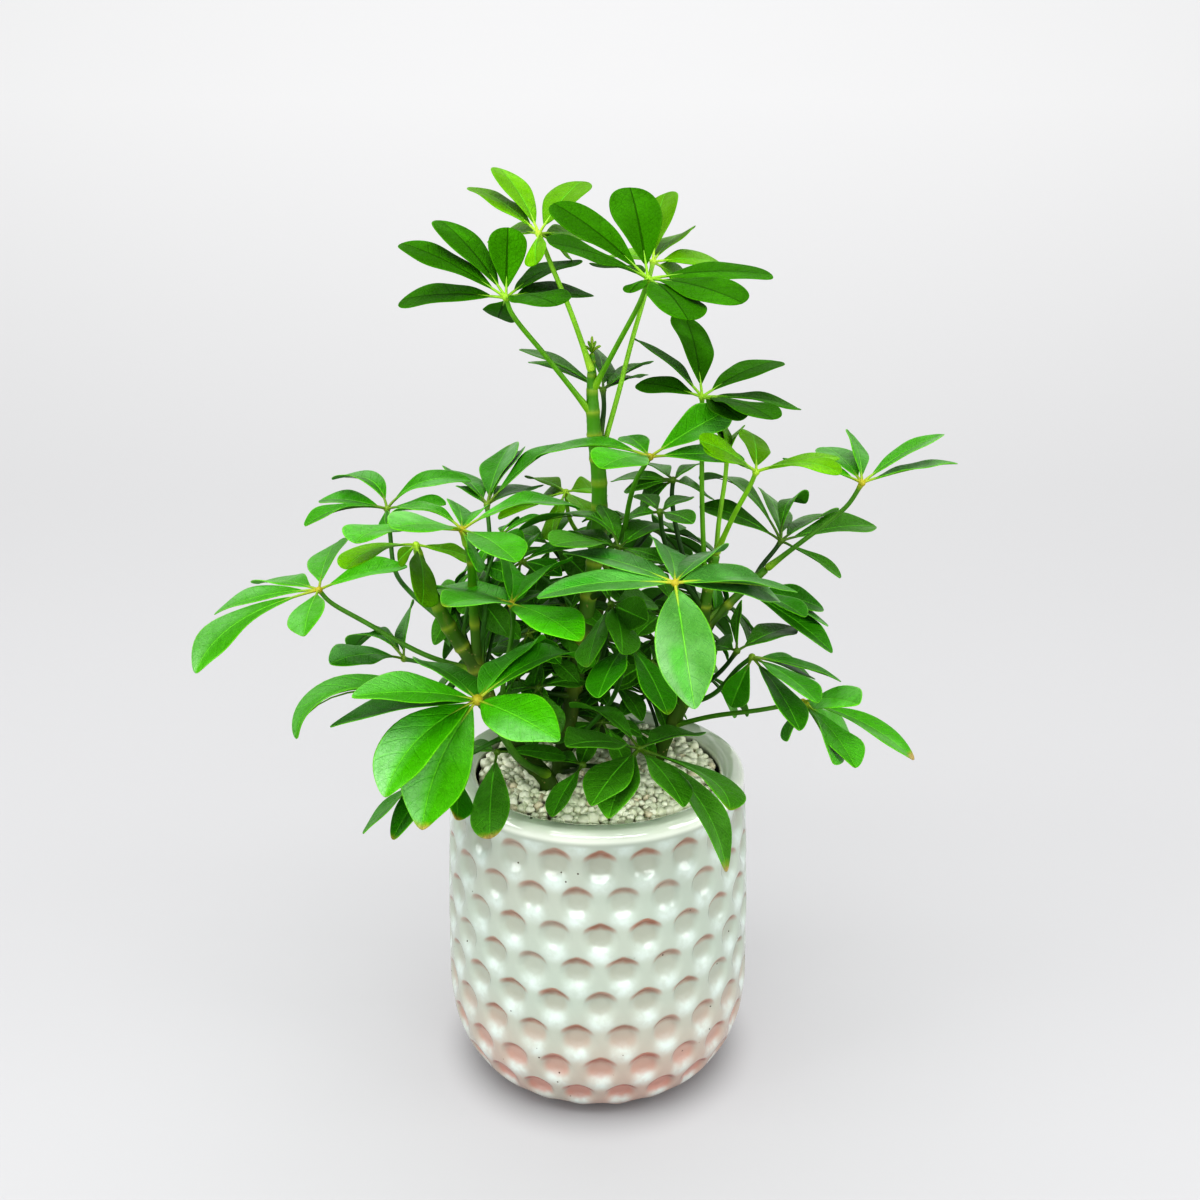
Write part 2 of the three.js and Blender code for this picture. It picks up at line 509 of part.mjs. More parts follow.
// The compound leaves that the view shows. stalk runs from the hub back into a stem.
// tips: [across, down, shown width, side, bend, length].
const LEAVES = {
  leaf_top_left: {
    hub: [506, 298, -12],
    stalk: [[512, 314, -10], [545, 355, -3], [592, 414, 5]],
    tone: "bright",
    tips: [
      [401, 243, 24], [440, 220, 30], [508, 227, 40, AWAY, null, 38], [573, 260, 20], [586, 292, 20],
      [557, 305, 17, TOWARDS], [401, 300, 24, AWAY], [498, 318, 36, AWAY, null, 32],
    ],
  },
  leaf_top_back_left: {
    hub: [539, 234, 8],
    stalk: [[550, 262, 4], [570, 310, 0], [592, 372, 2]],
    tone: "young",
    length: 50,
    tips: [
      [473, 187, 18], [500, 168, 26], [581, 181, 32], [498, 236, 18, AWAY], [590, 240, 15, AWAY],
      [536, 264, 20, TOWARDS, null, 30], [568, 254, 12, AWAY, null, 36],
    ],
  },
  leaf_top_right: {
    hub: [648, 279, -22],
    stalk: [[641, 300, -18], [620, 340, -6], [593, 390, 5]],
    tone: "bright",
    tips: [
      [553, 203, 33], [549, 243, 14, TOWARDS], [630, 187, 52], [773, 275, 19, AWAY], [743, 303, 26],
      [688, 320, 36, TOWARDS], [604, 267, 9], [630, 292, 11, TOWARDS, null, 24],
    ],
  },
  leaf_top_back_right: {
    hub: [653, 262, 42],
    stalk: [[647, 288, 36], [632, 340, 26], [618, 395, 16], [599, 462, 6]],
    tone: "young",
    length: 52,
    tips: [[665, 193, 36], [686, 232, 16], [722, 264, 18, AWAY], [692, 294, 22, AWAY], [608, 256, 16]],
  },
  leaf_right_upper: {
    hub: [702, 397, 0],
    stalk: [[702, 420, 0], [702, 500, 0], [704, 556, 0], [707, 596, 0]],
    tone: "bright",
    tips: [
      [684, 315, 36], [635, 339, 10], [638, 383, 21, AWAY, null, 40], [778, 361, 23],
      [798, 408, 11, AWAY],
      [773, 419, 15, TOWARDS], [741, 420, 22, TOWARDS, null, 40],
    ],
  },
  leaf_behind_tip: {
    hub: [603, 390, 20],
    stalk: [[604, 410, 14], [599, 440, 6]],
    tone: "dark",
    length: 48,
    tips: [[595, 347, 24], [519, 349, 9], [529, 362, 9, AWAY], [649, 363, 11], [640, 377, 12, AWAY]],
  },
  leaf_front_upper: {
    hub: [650, 457, -36],
    stalk: [[643, 468, -33], [636, 480, -30], [629, 503, -22], [622, 536, -8], [600, 558, 4]],
    tone: "bright",
    tips: [
      [732, 410, 36, AWAY, null, 48], [535, 458, 13, AWAY, [592, 444]], [601, 468, 28, TOWARDS],
      [626, 436, 22, AWAY, null, 34], [745, 459, 20, AWAY, null, 46],
    ],
  },
  leaf_middle_upper: {
    hub: [673, 480, 12],
    stalk: [[672, 500, 12], [680, 545, 10], [703, 620, 2]],
    tone: "dark",
    length: 42,
    tips: [
      [642, 462, 12], [709, 497, 10, AWAY], [640, 505, 18, AWAY, null, 30], [612, 481, 11, AWAY],
      [624, 491, 14, AWAY, null, 30], [697, 464, 9, AWAY, null, 25],
    ],
  },
  leaf_middle_dark: {
    hub: [660, 512, -22],
    stalk: [[664, 540, -16], [680, 575, -8], [705, 612, 1]],
    tone: "dark",
    length: 30,
    tips: [[693, 523, 17, TOWARDS], [640, 494, 18], [622, 520, 12, AWAY], [690, 497, 12]],
  },
  leaf_centre_dark: {
    hub: [619, 548, -30],
    stalk: [[618, 570, -26], [610, 588, -12], [589, 598, 4]],
    tone: "dark",
    tips: [
      [601, 505, 20, AWAY, null, 32], [656, 523, 24, AWAY, null, 40], [518, 530, 9, AWAY, [585, 514]],
      [553, 545, 12, TOWARDS], [571, 532, 11, AWAY, null, 40], [667, 562, 14, TOWARDS, null, 32],
    ],
  },
  leaf_back_upper: {
    hub: [566, 492, 52],
    stalk: [[570, 520, 56], [592, 550, 64], [610, 572, 69]],
    tone: "young",
    length: 42,
    tips: [
      [530, 478, 11], [540, 498, 15, AWAY], [602, 491, 20], [551, 540, 17], [590, 520, 20],
      [498, 519, 14],
    ],
  },
  leaf_young_right: {
    hub: [756, 472, -30],
    stalk: [[750, 486, -27], [735, 513, -19], [716, 554, 0]],
    tone: "young",
    length: 42,
    tips: [
      [752, 433, 31], [700, 441, 18, TOWARDS], [707, 453, 10, TOWARDS], [839, 457, 12, AWAY],
      [841, 474, 11, TOWARDS, [800, 462]],
    ],
  },
  leaf_young_shoot: {
    hub: [727, 458, 14],
    stalk: [[725, 480, 13], [719, 520, 11], [716, 552, 8], [711, 582, 0]],
    tone: "young",
    length: 34,
    tips: [[708, 412, 9], [718, 411, 9], [741, 428, 10], [700, 450, 9]],
  },
  leaf_far_right: {
    hub: [862, 483, -6],
    stalk: [[848, 505, -3], [828, 522, 0], [800, 543, 2], [766, 569, 7]],
    tone: "bright",
    length: 50,
    tips: [
      [943, 434, 15], [957, 463, 8], [826, 447, 28], [785, 459, 10, AWAY],
      [850, 432, 16, AWAY, null, 40],
    ],
  },
  leaf_right_dark: {
    hub: [781, 541, 24],
    stalk: [[774, 551, 22], [760, 568, 16], [755, 582, 7]],
    tone: "dark",
    tips: [
      [876, 526, 22, AWAY], [833, 514, 11, AWAY], [806, 503, 16, AWAY, [788, 502], 38], [766, 493, 24],
      [700, 480, 12, AWAY, [742, 486]], [699, 506, 20, AWAY, [740, 517], 46],
      [841, 578, 8, TOWARDS, null, 38],
    ],
  },
  leaf_left_upper: {
    hub: [387, 509, 24],
    stalk: [[390, 532, 24], [394, 568, 18], [410, 592, -4], [448, 624, -27]],
    tone: "mid",
    length: 46,
    tips: [
      [332, 479, 18, AWAY, [370, 480]], [320, 500, 17, AWAY], [304, 526, 8, TOWARDS, [346, 507]],
      [472, 481, 16, TOWARDS, [422, 482], 44], [446, 504, 12, TOWARDS, null, 36],
      [386, 526, 10, TOWARDS, null, 20],
    ],
  },
  leaf_left_back: {
    hub: [487, 505, 32],
    stalk: [[490, 545, 22], [486, 600, -2], [480, 668, -24]],
    tone: "mid",
    tips: [
      [511, 444, 29], [451, 470, 21], [521, 450, 18], [564, 443, 13, AWAY, [526, 465]],
      [535, 487, 17], [460, 486, 14, AWAY, null, 32],
    ],
  },
  leaf_left_bright: {
    hub: [462, 530, -43],
    stalk: [[464, 536, -42], [467, 545, -40]],
    tone: "bright",
    tips: [
      [517, 562, 32, TOWARDS], [392, 528, 18, TOWARDS], [391, 513, 11, AWAY, [430, 509], 38],
      [455, 502, 22, AWAY, null, 34], [581, 509, 15, AWAY, [520, 503]],
      [356, 543, 12, TOWARDS, [388, 529]], [484, 508, 12, AWAY, null, 34],
      [478, 572, 11, TOWARDS, null, 30],
    ],
  },
  leaf_left_front: {
    hub: [416, 545, -33],
    stalk: [[419, 556, -32], [424, 570, -31]],
    tone: "young",
    length: 48,
    tips: [
      [345, 569, 15, TOWARDS, [376, 548]], [422, 605, 28], [476, 560, 14, AWAY, null, 34],
      [398, 562, 16, AWAY, null, 22],
    ],
  },
  leaf_far_left: {
    hub: [319, 590, -18],
    stalk: [[330, 602, -18], [365, 622, -20], [425, 655, -24], [474, 670, -24]],
    tone: "bright",
    tips: [
      [337, 542, 30], [258, 583, 15, AWAY], [214, 614, 17, AWAY, [262, 596]],
      [195, 674, 28, TOWARDS, [238, 622], 66],
      [304, 636, 32, TOWARDS, null, 46], [408, 566, 19, AWAY, [360, 574], 46],
    ],
  },
  leaf_left_low: {
    hub: [404, 659, 12],
    stalk: [[430, 664, 4], [476, 676, -23]],
    tone: "mid",
    length: 48,
    tips: [
      [330, 664, 24, TOWARDS, [366, 654]], [352, 651, 13, AWAY, [375, 632]], [413, 603, 11],
      [362, 621, 9],
    ],
  },
  leaf_front_left: {
    hub: [477, 700, -88],
    stalk: [[487, 712, -84], [500, 730, -72], [519, 759, -46], [548, 775, -22]],
    stalkRadius: 1.7,
    tone: "bright",
    length: 62,
    tips: [
      [422, 831, 60], [385, 798, 46, TOWARDS, [414, 742]], [351, 697, 27, TOWARDS],
      [296, 740, 16, AWAY, [345, 690], 70],
      [329, 727, 18, AWAY], [418, 660, 19], [545, 638, 15, AWAY], [592, 667, 17, AWAY, [548, 656]],
      [560, 741, 47, TOWARDS, null, 54],
    ],
  },
  leaf_front_low: {
    hub: [639, 749, -72],
    stalk: [[632, 756, -64], [606, 766, -34], [561, 764, -6]],
    tone: "dark",
    tips: [
      [727, 873, 28, TOWARDS, [697, 797]], [730, 810, 15, TOWARDS, [706, 776], 62], [698, 734, 19],
      [571, 707, 15, AWAY, [608, 716]], [566, 746, 19, TOWARDS], [591, 806, 40, TOWARDS, null, 50],
      [608, 819, 40, TOWARDS, null, 48], [684, 807, 28, TOWARDS, null, 48],
    ],
  },
  leaf_front_centre: {
    hub: [675, 583, -88],
    stalk: [[679, 602, -80], [690, 650, -40], [692, 684, 5]],
    tone: "pale",
    length: 60,
    tips: [
      [695, 710, 62], [563, 553, 19, AWAY], [536, 598, 24, TOWARDS, [600, 583]], [661, 543, 32],
      [723, 550, 16], [780, 601, 32, AWAY, [736, 582]], [798, 592, 10, AWAY],
    ],
  },
  leaf_centre_left: {
    hub: [511, 604, -64],
    stalk: [[513, 628, -46], [505, 672, -27], [499, 722, -22]],
    tone: "bright",
    tips: [
      [581, 641, 33], [444, 606, 16, TOWARDS], [435, 588, 15, AWAY], [507, 558, 26, AWAY, null, 44],
      [571, 560, 11, AWAY],
    ],
  },
  leaf_inner_centre: {
    hub: [611, 604, -52],
    stalk: [[606, 640, -34], [590, 690, -6], [572, 700, 0]],
    tone: "dark",
    length: 46,
    tips: [
      [622, 654, 28], [648, 621, 38, TOWARDS, null, 30], [653, 602, 24, AWAY, null, 40], [588, 667, 22],
      [597, 571, 20, AWAY, null, 24],
    ],
  },
  leaf_inner_front: {
    hub: [628, 642, -66],
    stalk: [[620, 680, -40], [606, 708, -16], [566, 750, -5]],
    tone: "mid",
    length: 46,
    tips: [[668, 715, 30], [598, 698, 32], [640, 612, 16, AWAY, null, 26]],
  },
  leaf_right_middle: {
    hub: [737, 651, -24],
    stalk: [[724, 668, -16], [705, 684, -2], [690, 690, 6]],
    tone: "dark",
    length: 46,
    tips: [[794, 627, 24], [741, 600, 10, AWAY, null, 28], [708, 648, 24, AWAY]],
  },
  leaf_right_light: {
    hub: [752, 657, -42],
    stalk: [[738, 668, -34], [714, 694, -12], [683, 706, 7]],
    tone: "mid",
    length: 50,
    tips: [
      [811, 677, 15, AWAY], [818, 703, 20], [841, 681, 9, AWAY], [800, 731, 26],
      [731, 707, 30, AWAY, null, 34],
    ],
  },
  leaf_right_side: {
    hub: [744, 590, 12],
    stalk: [[730, 600, 7], [704, 622, 1]],
    tone: "mid",
    length: 48,
    tips: [[805, 617, 14, TOWARDS], [824, 609, 21, AWAY], [833, 653, 20, TOWARDS], [829, 626, 8, AWAY]],
  },
  leaf_far_right_low: {
    hub: [803, 702, -36],
    stalk: [[760, 710, -30], [713, 716, -12], [672, 726, 9]],
    tone: "bright",
    length: 52,
    tips: [
      [859, 704, 26], [915, 760, 19, AWAY, [862, 722]], [856, 768, 25], [858, 752, 18, AWAY],
      [834, 764, 9, TOWARDS], [787, 741, 9, TOWARDS, null, 30],
    ],
  },
  leaf_rim_left: {
    hub: [497, 752, -42],
    stalk: [[500, 750, -36], [508, 750, -30], [519, 751, -23]],
    tone: "dark",
    tips: [
      [490, 839, 39, TOWARDS, null, 50], [467, 746, 18, AWAY, null, 30],
      [566, 756, 16, AWAY, null, 36],
    ],
  },
  leaf_rim_small: {
    hub: [583, 765, -42],
    stalk: [[576, 770, -30], [560, 772, -7]],
    tone: "dark",
    length: 36,
    tips: [[552, 817, 22], [546, 758, 14, AWAY]],
  },
  leaf_rim_back_left: {
    hub: [448, 762, -44],
    stalk: [[468, 755, -46], [489, 744, -42], [509, 735, -24]],
    tone: "mid",
    length: 44,
    tips: [[392, 840, 24], [362, 834, 7, AWAY], [457, 820, 26]],
  },
};

// Leaves inside and behind the crown, laid out as whorls round an axis.
const WHORLS = {
  leaf_inner_a: {
    hub: [545, 622, 16],
    stalk: [[560, 640, 14], [580, 646, 3]],
    axis: [-0.2, -0.5, 1],
    count: 6,
    length: 35,
    droop: 0.25,
  },
  leaf_inner_b: {
    hub: [655, 640, 34],
    stalk: [[630, 660, 44], [590, 668, 48]],
    axis: [0.3, -0.4, 1],
    count: 6,
    length: 42,
    droop: 0.3,
  },
  leaf_inner_c: {
    hub: [552, 546, 50],
    stalk: [[578, 586, 60], [596, 626, 61]],
    axis: [-0.3, -0.4, 1],
    count: 6,
    length: 34,
    droop: 0.25,
  },
  leaf_inner_d: {
    hub: [474, 592, 12],
    stalk: [[482, 630, -6], [482, 676, -24]],
    axis: [-0.3, -0.5, 1],
    count: 5,
    length: 33,
    droop: 0.3,
  },
  leaf_inner_e: {
    hub: [538, 688, -14],
    stalk: [[545, 692, -10], [573, 696, 0]],
    axis: [-0.2, -0.5, 1],
    count: 5,
    length: 25,
    droop: 0.45,
  },
  leaf_back_a: {
    hub: [520, 590, 92],
    stalk: [[560, 625, 74], [589, 652, 52]],
    axis: [-0.6, 0.7, 1],
    count: 8,
    length: 54,
    droop: 0.3,
  },
  leaf_back_b: {
    hub: [672, 588, 96],
    stalk: [[640, 610, 80], [593, 642, 55]],
    axis: [0.6, 0.7, 1],
    count: 8,
    length: 54,
    droop: 0.3,
  },
  leaf_back_c: {
    hub: [650, 530, 90],
    stalk: [[638, 546, 84], [612, 567, 70]],
    axis: [0.3, 0.5, 1],
    count: 8,
    length: 44,
    droop: 0.2,
  },
  leaf_back_d: {
    hub: [584, 640, 118],
    stalk: [[588, 652, 95], [589, 682, 46]],
    axis: [0, 0.9, 1],
    count: 7,
    length: 44,
    droop: 0.25,
  },
  leaf_back_e: {
    hub: [694, 668, 70],
    stalk: [[656, 690, 56], [598, 725, 39]],
    axis: [0.8, 0.5, 1],
    count: 6,
    length: 46,
    droop: 0.2,
  },
  leaf_back_f: {
    hub: [488, 655, 66],
    stalk: [[530, 690, 52], [597, 722, 39]],
    axis: [-0.8, 0.5, 1],
    count: 6,
    length: 46,
    droop: 0.2,
  },
};

const TONES = { bright: 0x4bb414, young: 0x78b90a, pale: 0x6cc456, mid: 0x3f8f18, dark: 0x1f5a10 };

function makeStem({ runs }, growth) {
  return joined(
    runs.map(({ through, radii, steps }) =>
      taperedRod(through.map(place), radii.map((r) => r + growth), STEM_SIDES, steps),
    ),
  );
}

function bodyMesh(name, body, colour, roughness) {
  const material = new THREE.MeshStandardMaterial({ color: colour, roughness, metalness: 0 });
  const mesh = new THREE.Mesh(geometryOf(body), material);
  mesh.name = name;
  return mesh;
}

const plant = new THREE.Group();
const stems = Object.entries(STEMS);
const stemRoom = joined(stems.map(([, stem]) => makeStem(stem, GAP)));

plant.add(bodyMesh("pot", makePot(), 0xcdd6c8, 0.15));
plant.add(bodyMesh("soil", makeSoil().subtract(stemRoom), 0x2c2118, 0.95));
plant.add(bodyMesh("stone_chips", wholePiece(makeChips().subtract(stemRoom)), 0xd8d8c0, 0.7));
for (const [name, stem] of stems) {
  plant.add(bodyMesh(name, makeStem(stem, 0), stem.colour, 0.6));
}
for (const [name, leaf] of Object.entries({ ...LEAVES, ...WHORLS })) {
  const body = wholePiece(makeLeaf(leaf).subtract(stemRoom).simplify(WELD));
  plant.add(bodyMesh(name, body, TONES[leaf.tone ?? "dark"], 0.35));
}

export default plant;
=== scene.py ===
"""A potted umbrella plant: a dimpled glazed pot, potting soil, stone chips, woody stems and
compound leaves. Lengths in the tables are millimetres; every mesh is in metres, +Z up, with the
origin at the centre of the pot's foot. The reference view looks along +Y."""
import math
import random

import bmesh
import bpy
from mathutils import Matrix, Vector


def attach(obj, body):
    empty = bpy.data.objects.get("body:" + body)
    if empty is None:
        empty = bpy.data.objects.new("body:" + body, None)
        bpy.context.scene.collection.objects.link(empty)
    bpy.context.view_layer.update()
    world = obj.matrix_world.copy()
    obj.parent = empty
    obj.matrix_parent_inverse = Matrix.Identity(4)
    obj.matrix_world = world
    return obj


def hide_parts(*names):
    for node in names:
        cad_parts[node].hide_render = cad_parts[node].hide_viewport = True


bl_info = {
    "name": "Potted umbrella plant",
    "version": (1, 0, 0),
    "blender": (4, 5, 0),
    "location": "View3D > Sidebar > Plant",
    "description": "Makes a potted umbrella plant over its packed solids",
    "category": "Add Mesh",
}

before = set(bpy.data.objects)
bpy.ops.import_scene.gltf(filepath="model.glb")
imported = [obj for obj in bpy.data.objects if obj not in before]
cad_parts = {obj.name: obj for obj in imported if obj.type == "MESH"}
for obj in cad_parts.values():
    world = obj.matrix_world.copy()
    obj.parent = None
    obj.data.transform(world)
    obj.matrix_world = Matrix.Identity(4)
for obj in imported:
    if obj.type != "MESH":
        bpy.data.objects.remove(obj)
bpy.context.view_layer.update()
MM = 0.001

# The reference view. A place in the tables is (across, down) in its 1200 pixel frame, with a depth
# in millimetres, negative towards the viewer, as a third number.
VIEW_POINT = (1.15, -650.0, 481.5)
VIEW_PITCH = math.radians(19.04)
VIEW_FOCAL = 1381
VIEW_CENTRE = 600
SENSOR_WIDTH = 36
TOWARDS = -1
AWAY = 1

# The pot
POT_RADIUS = 80
FOOT_RADIUS = 52
BELLY_HEIGHT = 48
SHOULDER_HEIGHT = 172
SHOULDER_LEAN = 4.7
RIM_HEIGHT = 168
RIM_ROUND = 4.5
LIP_OUTER = 72
LIP_INNER = 66.5
MOUTH_RADIUS = 63
MOUTH_HEIGHT = 165
NECK_HEIGHT = 150
CAVITY_WALL = 9
FLOOR_HEIGHT = 9
DENTS_AROUND = 22
DENT_ROWS = 9
FIRST_DENT_HEIGHT = 150
DENT_PITCH = 18.85
DENT_TURN = -math.pi / 2 + 0.016
DENT_RADIUS = 7.9
LIP_STEPS = 10
WALL_STEP = 1.06
SECTOR_STEPS = 18  # spun steps across one dent
FLAW_SPOT = (-0.0317, -0.0605)  # the one black pinhole on the rim, in metres
FLAW_HEIGHT = 0.164

# The stone chips
CHIP_HEIGHT = 165
CHIP_LAYERS = (-2.4, -0.6)  # from the chips' height, lower layer first
CHIP_SIZES = (0.66, 0.8, 0.95, 1.1, 1.3)
CHIP_BEVEL = 0.28  # share of a chip's side, as the jitter is
CHIP_JITTER = 0.06
CHIP_TILT = 1.5  # radians, either way
CHIP_SEED = 11
SPIRAL_SPREAD = 0.52  # of the spacing
BED_DEPTH = 4.2
BED_THICKNESS = 3

# The stems
STEM_SIDES = 14
STEM_RING = 2.2  # from ring to ring
SCAR_GAP = 15.0
SCAR_WIDTH = 1.5
SCARS_SHOW = (175, 240)  # heights from nowhere to fully
GREENING = (190, 330)  # heights between which bark gives way to green skin
STEM_END = ((0.35, 0.8), (0.6, 0.45), (0.7, 0.12))  # rounded end: way on, size left
# How finely a line is sampled to find where it passes a height, or its length
SPOT_SAMPLES = 60
STEM_SAMPLES = 80
STALK_SAMPLES = 40

# The leaves
LEAFLET_LENGTH = 58
LEAFLET_WIDTH = 25
BLADE_SHAPE = 0.43
BLADE_START = 0.13  # share of the leaflet's length, as BROAD_START is
BLADE_ARCH = 0.045
HIDDEN_ARCH = 0.1
WHORL_STRAY = 0.2
STALK_RADIUS = 1.15
INNER_STALK_RADIUS = 0.85
STALK_SIDES = 8
LEAFLET_SIDES = 6
SEEN_GRID = (6, 11)  # faces across and along a blade
INNER_GRID = (4, 8)
BROAD_START = 0.05
BLUNT = 0.5  # 0 for a pointed tip, 1 for a round one
INNER_BLUNT = 0.25
NARROWEST = 0.55  # half a blade's width at its start
LEAF_SEED = 100
INNER_SEED = 500
UNDER_SLOT = 1
STALK_SLOT = 2

# Each stem is one or two runs: the places that it passes, and its radius along them
STEMS = {
    "stem_main": [
        (
            [
                (556, 840, -8), (560, 775, -6), (572, 700, 0), (588, 600, 4), (598, 534, 6),
                (599, 480, 6), (594, 430, 5), (592, 385, 5), (592, 355, 4),
            ],
            [5, 4.4, 4, 3.8, 3.2, 1.4],
        ),
    ],
    "stem_left": [
        (
            [
                (552, 840, -22), (548, 782, -22), (520, 752, -22), (492, 708, -22),
                (474, 664, -25),
                (451, 630, -27), (433, 595, -29), (417, 549, -32),
            ],
            [4.6, 4.4, 4.1, 3.6, 1.8],
        ),
        (
            [(478, 672, -24), (473, 600, -33), (470, 555, -38), (463, 532, -42)],
            [2.6, 1.5],
        ),
    ],
    "stem_right": [
        (
            [
                (652, 835, 12), (656, 765, 10), (688, 690, 6), (701, 640, 2), (706, 600, 0),
                (715, 556, 0),
            ],
            [4.2, 3.6, 3.2, 2.4],
        ),
        (
            [(702, 632, 2), (735, 598, 5), (765, 570, 9)],
            [2.4, 1.9],
        ),
    ],
    "stem_back": [
        (
            [(602, 815, 34), (600, 740, 38), (588, 680, 46), (596, 620, 60), (612, 565, 70)],
            [4, 3.4, 2.4],
        ),
    ],
}

# The growing tip of the main stem: where its buds start, where each ends, and a bud's radii
TIP_BUDS = (
    (592, 352, 4), (588, 341, 0), (596, 341, 6), (583, 346, 3), (601, 346, 2), (592, 336, 5),
)
BUD_RADII = ((0, 0.7), (0.3, 0.55), (0.6, 0.75), (0.85, 0.6), (1, 0.15))

